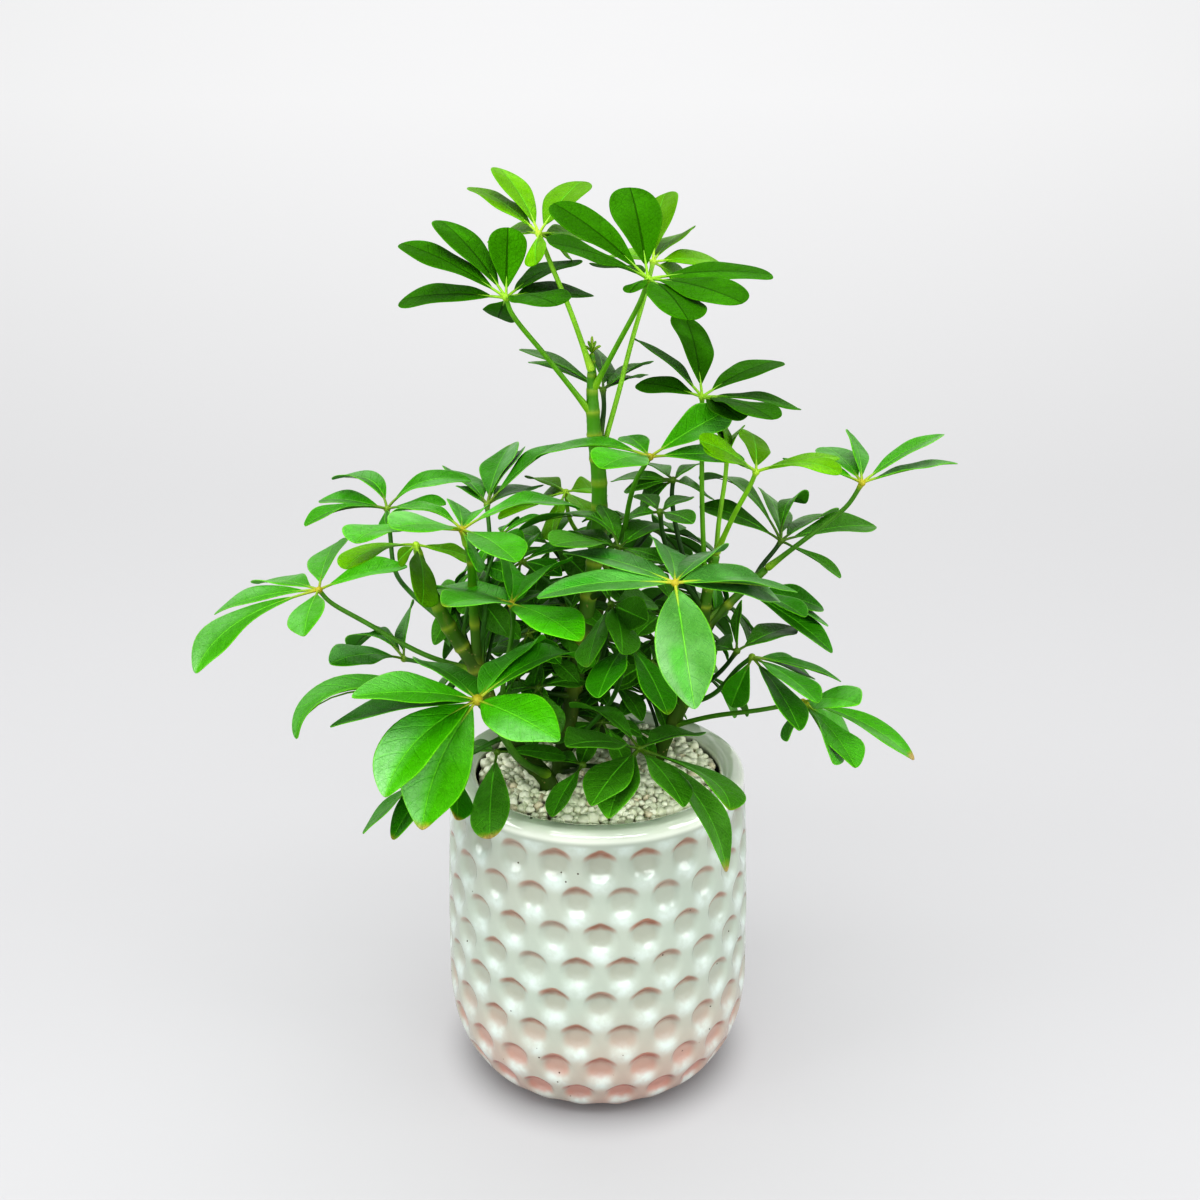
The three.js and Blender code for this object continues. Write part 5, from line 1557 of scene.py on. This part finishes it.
def rib_curve(start, middle, end):
    """A leaflet's bent midrib: its place and its direction at a share of its length."""
    bow = middle * 2 - (start + end) * 0.5

    def at(t):
        return start * (1 - t) ** 2 + bow * (2 * t * (1 - t)) + end * t * t

    def along(t):
        return ((bow - start) * (1 - t) + (end - bow) * t).normalized()

    return at, along


def half_width(share, blunt, broad):
    """Half a blade's width, per unit of its greatest width. blunt is 0 for a pointed tip and 1 for
    a round one; a broad blade is widest near its middle."""
    power = 0.8 - 0.35 * blunt
    taper = 1 - 0.4 * (1 - blunt) * smooth(0.7, 1.0, share)
    bulge = 1.12 if broad else 1.34 + 0.46 * blunt
    return 0.5 * taper * max(0.0, math.sin(math.pi * share ** bulge)) ** power


def add_leaflet(
    bm, layers, hub, placed, draw, thickness,
    blunt=INNER_BLUNT, broad=False, brown=0.0, sheen=0.0, grid_size=SEEN_GRID,
):
    """A grid laid on the bent midrib, folded, waved and thickened, and its own little stalk."""
    middle, end, front, width = placed
    at, along_at = rib_curve(hub, middle, end)
    begin = BROAD_START if broad else BLADE_START
    columns, rows = grid_size
    grid = bmesh.ops.create_grid(
        bm, x_segments=columns, y_segments=rows, size=1.0, calc_uvs=True
    )["verts"]
    faces = list({face for vert in grid for face in vert.link_faces})
    twist = draw.uniform(-0.22, 0.22) * (1 - 0.6 * blunt)
    wave = draw.uniform(0.02, 0.06) * width
    phases = (draw.uniform(0, 6.28), draw.uniform(0, 6.28))
    rounds = draw.uniform(1.2, 2.2)
    fold = draw.uniform(0.2, 0.42) * (1 - 0.8 * blunt)
    shade = draw.random()
    tips = []
    for vert in grid:
        s, t = vert.co.x, (vert.co.y + 1) / 2
        eased = 0.15 * t + 0.85 * math.sin(math.pi / 2 * t)
        share = begin + (1 - begin) * eased
        half = max(NARROWEST, width * half_width(eased, blunt, broad)) if t < 0.99 else 0.0
        along = along_at(share)
        flat = along.cross(front).normalized()
        steep = flat.cross(along)
        angle = twist * (share - 0.5)
        side = flat * math.cos(angle) + steep * math.sin(angle)
        up = steep * math.cos(angle) - flat * math.sin(angle)
        out = abs(s)
        lift = half * (fold * 1.15 * out - fold * 0.25 * out * out)
        ripple = wave * math.sin(2 * math.pi * rounds * share + phases[s > 0]) * out * out
        ripple *= math.sin(math.pi * eased)
        vert.co = (at(share) + side * (s * half) + up * (lift + ripple)) * MM
        # A pale sheen lies on one half, towards the tip
        lit = smooth(-0.15, 0.3, s if sheen > 0 else -s) * smooth(0.25, 0.6, share)
        marks = {
            "rim": (1 - out) * half, "rib": out * half, "shade": shade,
            "brown": brown * smooth(0.87, 1.0, share), "sheen": abs(sheen) * lit,
        }
        for key, value in marks.items():
            vert[layers[key]] = value
        if t > 0.99:
            tips.append(vert)
    bmesh.ops.remove_doubles(bm, verts=tips, dist=1e-6)
    faces = [face for face in faces if face.is_valid]
    bmesh.ops.recalc_face_normals(bm, faces=faces)
    sample = faces[len(faces) // 2]
    sample.normal_update()
    if sample.normal.dot(front) < 0:
        bmesh.ops.reverse_faces(bm, faces=faces)
    solid = bmesh.ops.solidify(bm, geom=faces, thickness=thickness)["geom"]
    for face in of_type(solid, bmesh.types.BMFace):
        face.material_index = UNDER_SLOT
    add_leaflet_stalk(bm, layers, at, along_at, front)


def add_leaflet_stalk(bm, layers, at, along_at, front):
    """The leaflet's own stalk, and the midrib that stands out under the blade."""
    points, radii, collars, hubs = [], [], [], []
    for share, radius, sink, collar, hub in LEAFLET_STALK:
        along = along_at(share)
        up = along.cross(front).normalized().cross(along)
        points.append((at(share) - up * sink) * MM)
        radii.append(radius * MM)
        collars.append(collar)
        hubs.append(hub)
    marks = {layers["collar"]: collars, layers["hub"]: hubs}
    add_tube(bm, points, radii, LEAFLET_SIDES, marks, material=STALK_SLOT)


# Rings of a leaflet's stalk and midrib: share of the length, radius, how far it lies under the
# blade, and how pale and how yellow it is there
LEAFLET_STALK = (
    (0.0, 0.95, 0, 1, 1), (0.05, 0.8, 0, 0.9, 0.5), (0.11, 0.75, 0.1, 0.7, 0.15),
    (0.18, 0.7, 0.35, 0.5, 0), (0.3, 0.6, 0.5, 0.4, 0), (0.5, 0.45, 0.55, 0.4, 0),
    (0.7, 0.32, 0.55, 0.4, 0), (0.88, 0.12, 0.45, 0.4, 0),
)

# How far a leaflet's tip has dried, by leaf and place in its whorl
DRY_TIPS = {
    "leaf_far_right_low": {1: 1.0, 3: 0.5},
    "leaf_front_left": {0: 0.75, 1: 0.3},
    "leaf_centre_left": {0: 0.45, 1: 0.5},
    "leaf_rim_left": {0: 0.8},
    "leaf_rim_small": {0: 0.3},
    "leaf_rim_back_left": {0: 0.7, 2: 0.8},
    "leaf_front_low": {0: 0.8, 1: 0.5, 6: 0.4},
    "leaf_left_back": {0: 0.6},
    "leaf_inner_centre": {3: 0.35},
    "leaf_inner_front": {0: 0.5},
    "leaf_far_left": {3: 0.3},
}

# How round a leaf's tips are, where it isn't BLUNT
ROUND_LEAVES = {
    "leaf_top_left": 1.0, "leaf_top_back_left": 1.0, "leaf_top_right": 1.0,
    "leaf_top_back_right": 0.9, "leaf_right_upper": 0.9, "leaf_rim_left": 0.9,
    "leaf_young_right": 0.9, "leaf_left_front": 0.8, "leaf_far_right": 0.75,
    "leaf_front_centre": 0.45, "leaf_front_left": 0.35, "leaf_front_low": 0.3,
    "leaf_far_left": 0.35,
}

# Leaves whose blades are widest near the middle, and how much wider than drawn they spread
BROAD_LEAVES = {"leaf_front_left": 1.14, "leaf_front_centre": 1.0, "leaf_centre_left": 1.05}

# How strongly a blade shines, on its one half or, below zero, on the other
SHEENS = {
    "leaf_front_left": {0: 1.1, 1: 1.3, 2: 0.5, 3: 0.4, 5: 0.3, 7: 0.3, 8: 0.9},
    "leaf_front_centre": {0: 0.5, 1: 0.3, 5: 0.3},
    "leaf_left_bright": {0: 0.2, 1: 0.45, 3: 0.5, 5: 0.35, 6: 0.35},
    "leaf_left_back": {0: 0.8, 2: 0.9, 4: 0.5},
    "leaf_far_left": {3: 0.6, 2: 0.5, 4: 0.6, 5: 0.6},
    "leaf_left_low": {0: 0.6}, "leaf_left_upper": {0: 0.4, 3: 0.5},
    "leaf_front_upper": {0: 0.3}, "leaf_far_right": {2: 0.4},
}

# Leaves seen against the light
SHADED_LEAVES = ("leaf_top_left", "leaf_top_right", "leaf_right_upper")


def leaf_finishes(tone, settings):
    """Upper face, lower face and stalk of one kind of leaf, made once."""
    made = bpy.data.materials.get("Leaf upper " + tone)
    if not made:
        return [upper_finish(tone, settings), under_finish(tone, settings), stalk_finish(tone)]
    return [
        bpy.data.materials[kind + tone]
        for kind in ("Leaf upper ", "Leaf under ", "Leaf stalk ")
    ]


def new_leaf():
    """An empty mesh with the chart and the layers that the leaf finishes read."""
    bm = bmesh.new()
    bm.loops.layers.uv.new("UVMap")
    keys = ("rim", "rib", "shade", "brown", "sheen", "collar", "hub")
    return bm, {key: bm.verts.layers.float.new(key) for key in keys}


def add_stalk(bm, layers, places, radius):
    """A leaf's stalk, swollen at both ends, with the knob that joins the leaflets."""
    _, length = line_through(places, STALK_SAMPLES)
    count = max(8, min(18, round(length / 4)))
    points, sizes, collars, hubs = [], [], [], []
    for i in range(count + 1):
        # Rings gather at the two swollen ends
        share = 0.5 - 0.5 * math.cos(math.pi * i / count)
        share = 0.6 * share + 0.4 * i / count
        travelled = share * length
        top = math.exp(-((travelled / 2.6) ** 2))
        foot = math.exp(-(((length - travelled) / 5.0) ** 2))
        points.append(centripetal(places, share) * MM)
        sizes.append(radius * (1 + 0.25 * share + 0.55 * top + 0.75 * foot) * MM)
        collars.append(min(1.0, top + foot))
        hubs.append(0.8 * top)
    marks = {layers["collar"]: collars, layers["hub"]: hubs}
    add_tube(bm, points, sizes, STALK_SIDES, marks, material=STALK_SLOT)
    knob = bmesh.ops.create_icosphere(bm, subdivisions=2, radius=1.65 * radius * MM)["verts"]
    for vert in knob:
        vert[layers["collar"]] = 1.0
        vert[layers["hub"]] = 0.9
        for face in vert.link_faces:
            face.material_index = STALK_SLOT
    bmesh.ops.translate(bm, verts=knob, vec=places[0] * MM)


class PLANT_OT_leaves(bpy.types.Operator):
    """Makes every compound leaf: stalk, hub, leaflet stalks and veined blades"""

    bl_idname = "plant.leaves"
    bl_label = "Leaves"

    def execute(self, context):
        settings = context.scene.plant_leaves
        for number, (name, leaf) in enumerate({**LEAVES, **WHORLS}.items()):
            self.make_leaf(name, leaf, settings, random.Random(LEAF_SEED + number))
        return {"FINISHED"}

    def make_leaf(self, name, leaf, settings, draw):
        spot = place(leaf["hub"])
        hub = Vector(spot)
        tone = leaf.get("tone", "dark")
        bm, layers = new_leaf()
        if "tips" in leaf:
            blades = [seen_leaflet(hub, leaf, tip) for tip in leaf["tips"]]
        else:
            blades = [whorl_leaflet(hub, spot, leaf, k) for k in range(leaf["count"])]
        dry = DRY_TIPS.get(name, {})
        sheens = SHEENS.get(name, {})
        shaded = name in SHADED_LEAVES
        for k, (middle, end, front, width) in enumerate(blades):
            placed = (middle, end, front, width * BROAD_LEAVES.get(name, 1.0))
            brown = dry.get(k, 0.12 * (draw.random() > 0.6))
            stray = draw.uniform(-0.4, 0.4) if tone == "bright" and not shaded else 0.0
            add_leaflet(
                bm, layers, hub, placed, draw, settings.thickness,
                blunt=ROUND_LEAVES.get(name, BLUNT), broad=name in BROAD_LEAVES, brown=brown,
                sheen=sheens.get(k, stray),
            )
        places = [hub] + places_of(leaf["stalk"])
        add_stalk(bm, layers, places, leaf.get("stalk_radius", STALK_RADIUS))
        finishes = leaf_finishes("shaded" if shaded else tone, settings)
        finished(name.replace("leaf", "Leaf"), bm, finishes, "leaf_" + tone, name, subdivide=1)


# Small leaves inside the crown: place of the hub, number of leaflets, their length, and tone
INNER_LEAVES = (
    ((545, 655, 8), 6, 30, "dark"), ((516, 676, 2), 5, 27, "dark"),
    ((574, 676, 24), 6, 30, "dark"),
    ((612, 684, 24), 6, 30, "dark"), ((646, 694, 22), 6, 28, "dark"),
    ((556, 716, 6), 5, 24, "dark"),
    ((602, 722, -6), 6, 26, "dark"), ((632, 728, 16), 5, 26, "dark"),
    ((528, 634, -4), 5, 26, "mid"),
    ((566, 606, 16), 6, 30, "dark"), ((592, 574, 26), 6, 30, "dark"),
    ((522, 562, 4), 6, 28, "mid"),
    ((498, 616, 4), 5, 26, "dark"), ((642, 566, 18), 6, 28, "dark"),
    ((662, 616, 12), 6, 28, "dark"),
    ((694, 622, 26), 6, 28, "dark"), ((652, 662, -6), 5, 25, "dark"),
    ((604, 640, 14), 6, 28, "dark"),
    ((452, 600, 8), 5, 26, "dark"), ((476, 566, 6), 6, 28, "mid"), ((706, 566, 24), 6, 26, "mid"),
    ((726, 604, 28), 6, 28, "dark"), ((500, 536, 12), 5, 26, "mid"),
    ((574, 640, 40), 6, 32, "dark"),
    ((622, 520, 24), 5, 26, "dark"), ((672, 654, 36), 6, 30, "dark"),
)


class PLANT_OT_inner_leaves(bpy.types.Operator):
    """Fills the inside of the crown with small shaded leaves on stalks that rise from the stems"""

    bl_idname = "plant.inner_leaves"
    bl_label = "Inner leaves"

    def execute(self, context):
        settings = context.scene.plant_leaves
        stems = []
        for through, _ in (run for runs in STEMS.values() for run in runs):
            stems += line_through(places_of(through), STALK_SAMPLES)[0]
        for number, (pixel, count, length, tone) in enumerate(INNER_LEAVES):
            draw = random.Random(INNER_SEED + number)
            spot = place(pixel)
            hub = Vector(spot)
            lean = (hub.x / 70, hub.y / 60 - 0.35, 1.0)
            leaf = dict(axis=lean, count=count, length=length, droop=0.2 + 0.25 * draw.random())
            bm, layers = new_leaf()
            for k in range(count):
                placed = whorl_leaflet(hub, spot, leaf, k)
                add_leaflet(
                    bm, layers, hub, placed, draw, settings.thickness, grid_size=INNER_GRID
                )
            # The stalk rises from the nearest place on a stem that lies well below the hub
            goal = hub - Vector((0, 0, 22))
            foot = min((p for p in stems if p.z < hub.z - 8), key=lambda p: (p - goal).length)
            middle = hub.lerp(foot, 0.5) + Vector((0, 0, 2.5))
            add_stalk(bm, layers, [hub, middle, foot], INNER_STALK_RADIUS)
            finishes = leaf_finishes(tone, settings)
            finished(f"Inner_leaf_{number + 1:02d}", bm, finishes, "leaf_" + tone, subdivide=1)
        return {"FINISHED"}


# ---------------------------------------------------------------- stage


# The backdrop, in metres: half its width, where the floor starts and ends, its height and curve
STAGE_HALF = 5
STAGE_FRONT = -4
STAGE_BACK = 3.6
STAGE_HEIGHT = 5
STAGE_CURVE = 2.4
SKY_STRENGTH = 0.16
PLANT_MIDDLE = (0, 0, 0.22)

# Lamps: name, place, aim, width, depth, power
LAMPS = (
    ("Overhead", (-0.15, -0.2, 1.7), PLANT_MIDDLE, 1.3, 1.1, 8),
    ("Bright strip", (-0.1, -0.85, 1.45), PLANT_MIDDLE, 2.2, 0.34, 11),
    ("Front softbox", (-0.5, -1.6, 1.2), PLANT_MIDDLE, 1.2, 0.8, 2),
    ("Low strip", (0.0, -0.95, 0.5), (0, 0, 0.2), 1.3, 0.15, 4.0),
    ("Left", (-1.4, -0.5, 0.8), PLANT_MIDDLE, 0.9, 0.9, 9.5),
    ("Right", (1.4, -0.5, 0.8), PLANT_MIDDLE, 0.9, 0.9, 10),
    ("Backdrop wash", (0, 1.4, 3.2), (0, 3.2, 0.6), 4.0, 1.5, 60),
)


def stage_finish(settings):
    """Pale floor and backdrop with a little light of their own, and a painted contact shadow close
    under the pot.
    """
    paint = Paint("Pale floor", {"Specular IOR Level": 0.0, "Emission Strength": settings.glow})
    grain = paint.noise(6, 2)
    base = tuple(settings.floor)
    colour = paint.mix(grain * 0.3, base, dimmed(base, 0.97))
    x, y, z = paint.parts(paint.point())
    away = (x ** 2 + y ** 2) ** 0.5
    # Painted contact shadow: the floor's own light is cut close around the pot's foot
    clear_of_painted_shadow = away.rise(0.05, 0.09)
    far = (y * 0.3 + z * 0.35).clamped()
    lit = paint.mix(far, linear(214, 214, 215), linear(255, 255, 255))
    lit = paint.mix(clear_of_painted_shadow, linear(60, 60, 60), lit)
    return paint.finish(Base_Color=colour, Roughness=0.85 + grain * 0.1, Emission_Color=lit)


class PLANT_OT_stage(bpy.types.Operator):
    """Sets up the floor and backdrop, the lights and the camera"""

    bl_idname = "plant.stage"
    bl_label = "Stage"

    def execute(self, context):
        settings = context.scene.plant_stage
        self.add_backdrop(settings)
        self.add_lights(context, settings.light)
        self.add_camera(context)
        context.scene.view_settings.view_transform = "Standard"
        context.scene.view_settings.look = "High Contrast"
        return {"FINISHED"}

    def add_backdrop(self, settings):
        """A floor that curves up into a backdrop."""
        bm = bmesh.new()
        bends = ((STAGE_FRONT, 0), (STAGE_BACK, 0), (STAGE_BACK, STAGE_HEIGHT))
        line = [bm.verts.new((-STAGE_HALF, y, z)) for y, z in bends]
        edges = [bm.edges.new(pair) for pair in zip(line, line[1:])]
        new = bmesh.ops.extrude_edge_only(bm, edges=edges)["geom"]
        moved = of_type(new, bmesh.types.BMVert)
        bmesh.ops.translate(bm, verts=moved, vec=(2 * STAGE_HALF, 0, 0))
        corner = [
            edge for edge in bm.edges
            if all(abs(v.co.y - STAGE_BACK) < 0.01 and abs(v.co.z) < 0.01 for v in edge.verts)
        ]
        bmesh.ops.bevel(
            bm, geom=corner, offset=STAGE_CURVE, segments=32, profile=0.5, affect="EDGES",
            material=-1,
        )
        bmesh.ops.recalc_face_normals(bm, faces=bm.faces[:])
        flat = max(bm.faces, key=lambda face: face.calc_area())
        if flat.normal.z < 0:
            bmesh.ops.reverse_faces(bm, faces=bm.faces[:])
        backdrop = smooth_object("Backdrop", bm, [stage_finish(settings)])

    def add_lights(self, context, strength):
        world = bpy.data.worlds.new("Soft room")
        world.use_nodes = True
        sky = world.node_tree.nodes["Background"]
        sky.inputs["Color"].default_value = (1, 1, 1, 1)
        sky.inputs["Strength"].default_value = SKY_STRENGTH * strength
        context.scene.world = world
        for name, spot, aim, width, depth, power in LAMPS:
            lamp = bpy.data.lights.new(name, "AREA")
            lamp.shape = "RECTANGLE"
            lamp.size, lamp.size_y = width, depth
            lamp.energy = power * strength
            holder = bpy.data.objects.new(name, lamp)
            holder.location = spot
            direction = Vector(aim) - Vector(spot)
            holder.rotation_euler = direction.to_track_quat("-Z", "Y").to_euler()
            context.scene.collection.objects.link(holder)

    def add_camera(self, context):
        lens = bpy.data.cameras.new("Reference view")
        lens.sensor_width = SENSOR_WIDTH
        lens.lens = VIEW_FOCAL / (2 * VIEW_CENTRE) * SENSOR_WIDTH
        lens.clip_start = 0.01
        camera = bpy.data.objects.new("Reference view", lens)
        camera.location = Vector(VIEW_POINT) * MM
        camera.rotation_euler = (math.pi / 2 - VIEW_PITCH, 0, 0)
        context.scene.collection.objects.link(camera)
        context.scene.camera = camera


# ---------------------------------------------------------------- add-on


class PLANT_PT_parts(bpy.types.Panel):
    bl_idname = "PLANT_PT_parts"
    bl_label = "Potted plant"
    bl_space_type = "VIEW_3D"
    bl_region_type = "UI"
    bl_category = "Plant"

    def draw(self, context):
        scene = context.scene
        for title, settings, operators in (
            ("Pot", scene.plant_pot, ("plant.pot",)),
            ("Soil and chips", scene.plant_chips, ("plant.soil", "plant.chips")),
            ("Stems", scene.plant_stems, ("plant.stems",)),
            ("Leaves", scene.plant_leaves, ("plant.leaves", "plant.inner_leaves")),
            ("Stage", scene.plant_stage, ("plant.stage",)),
        ):
            box = self.layout.box()
            box.label(text=title)
            for key in settings.__annotations__:
                box.prop(settings, key)
            for operator in operators:
                box.operator(operator)


GROUPS = {
    "plant_pot": PotSettings,
    "plant_chips": ChipSettings,
    "plant_stems": StemSettings,
    "plant_leaves": LeafSettings,
    "plant_stage": StageSettings,
}
CLASSES = (
    PLANT_OT_pot, PLANT_OT_soil, PLANT_OT_chips, PLANT_OT_stems, PLANT_OT_leaves,
    PLANT_OT_inner_leaves, PLANT_OT_stage, PLANT_PT_parts,
)


def register():
    for name, group in GROUPS.items():
        bpy.utils.register_class(group)
        setattr(bpy.types.Scene, name, bpy.props.PointerProperty(type=group))
    for kind in CLASSES:
        bpy.utils.register_class(kind)


def unregister():
    for kind in reversed(CLASSES):
        bpy.utils.unregister_class(kind)
    for name, group in GROUPS.items():
        delattr(bpy.types.Scene, name)
        bpy.utils.unregister_class(group)


def main():
    register()
    bpy.ops.plant.pot()
    bpy.ops.plant.soil()
    bpy.ops.plant.chips()
    bpy.ops.plant.stems()
    bpy.ops.plant.leaves()
    bpy.ops.plant.inner_leaves()
    bpy.ops.plant.stage()


if __name__ == "__main__":
    main()
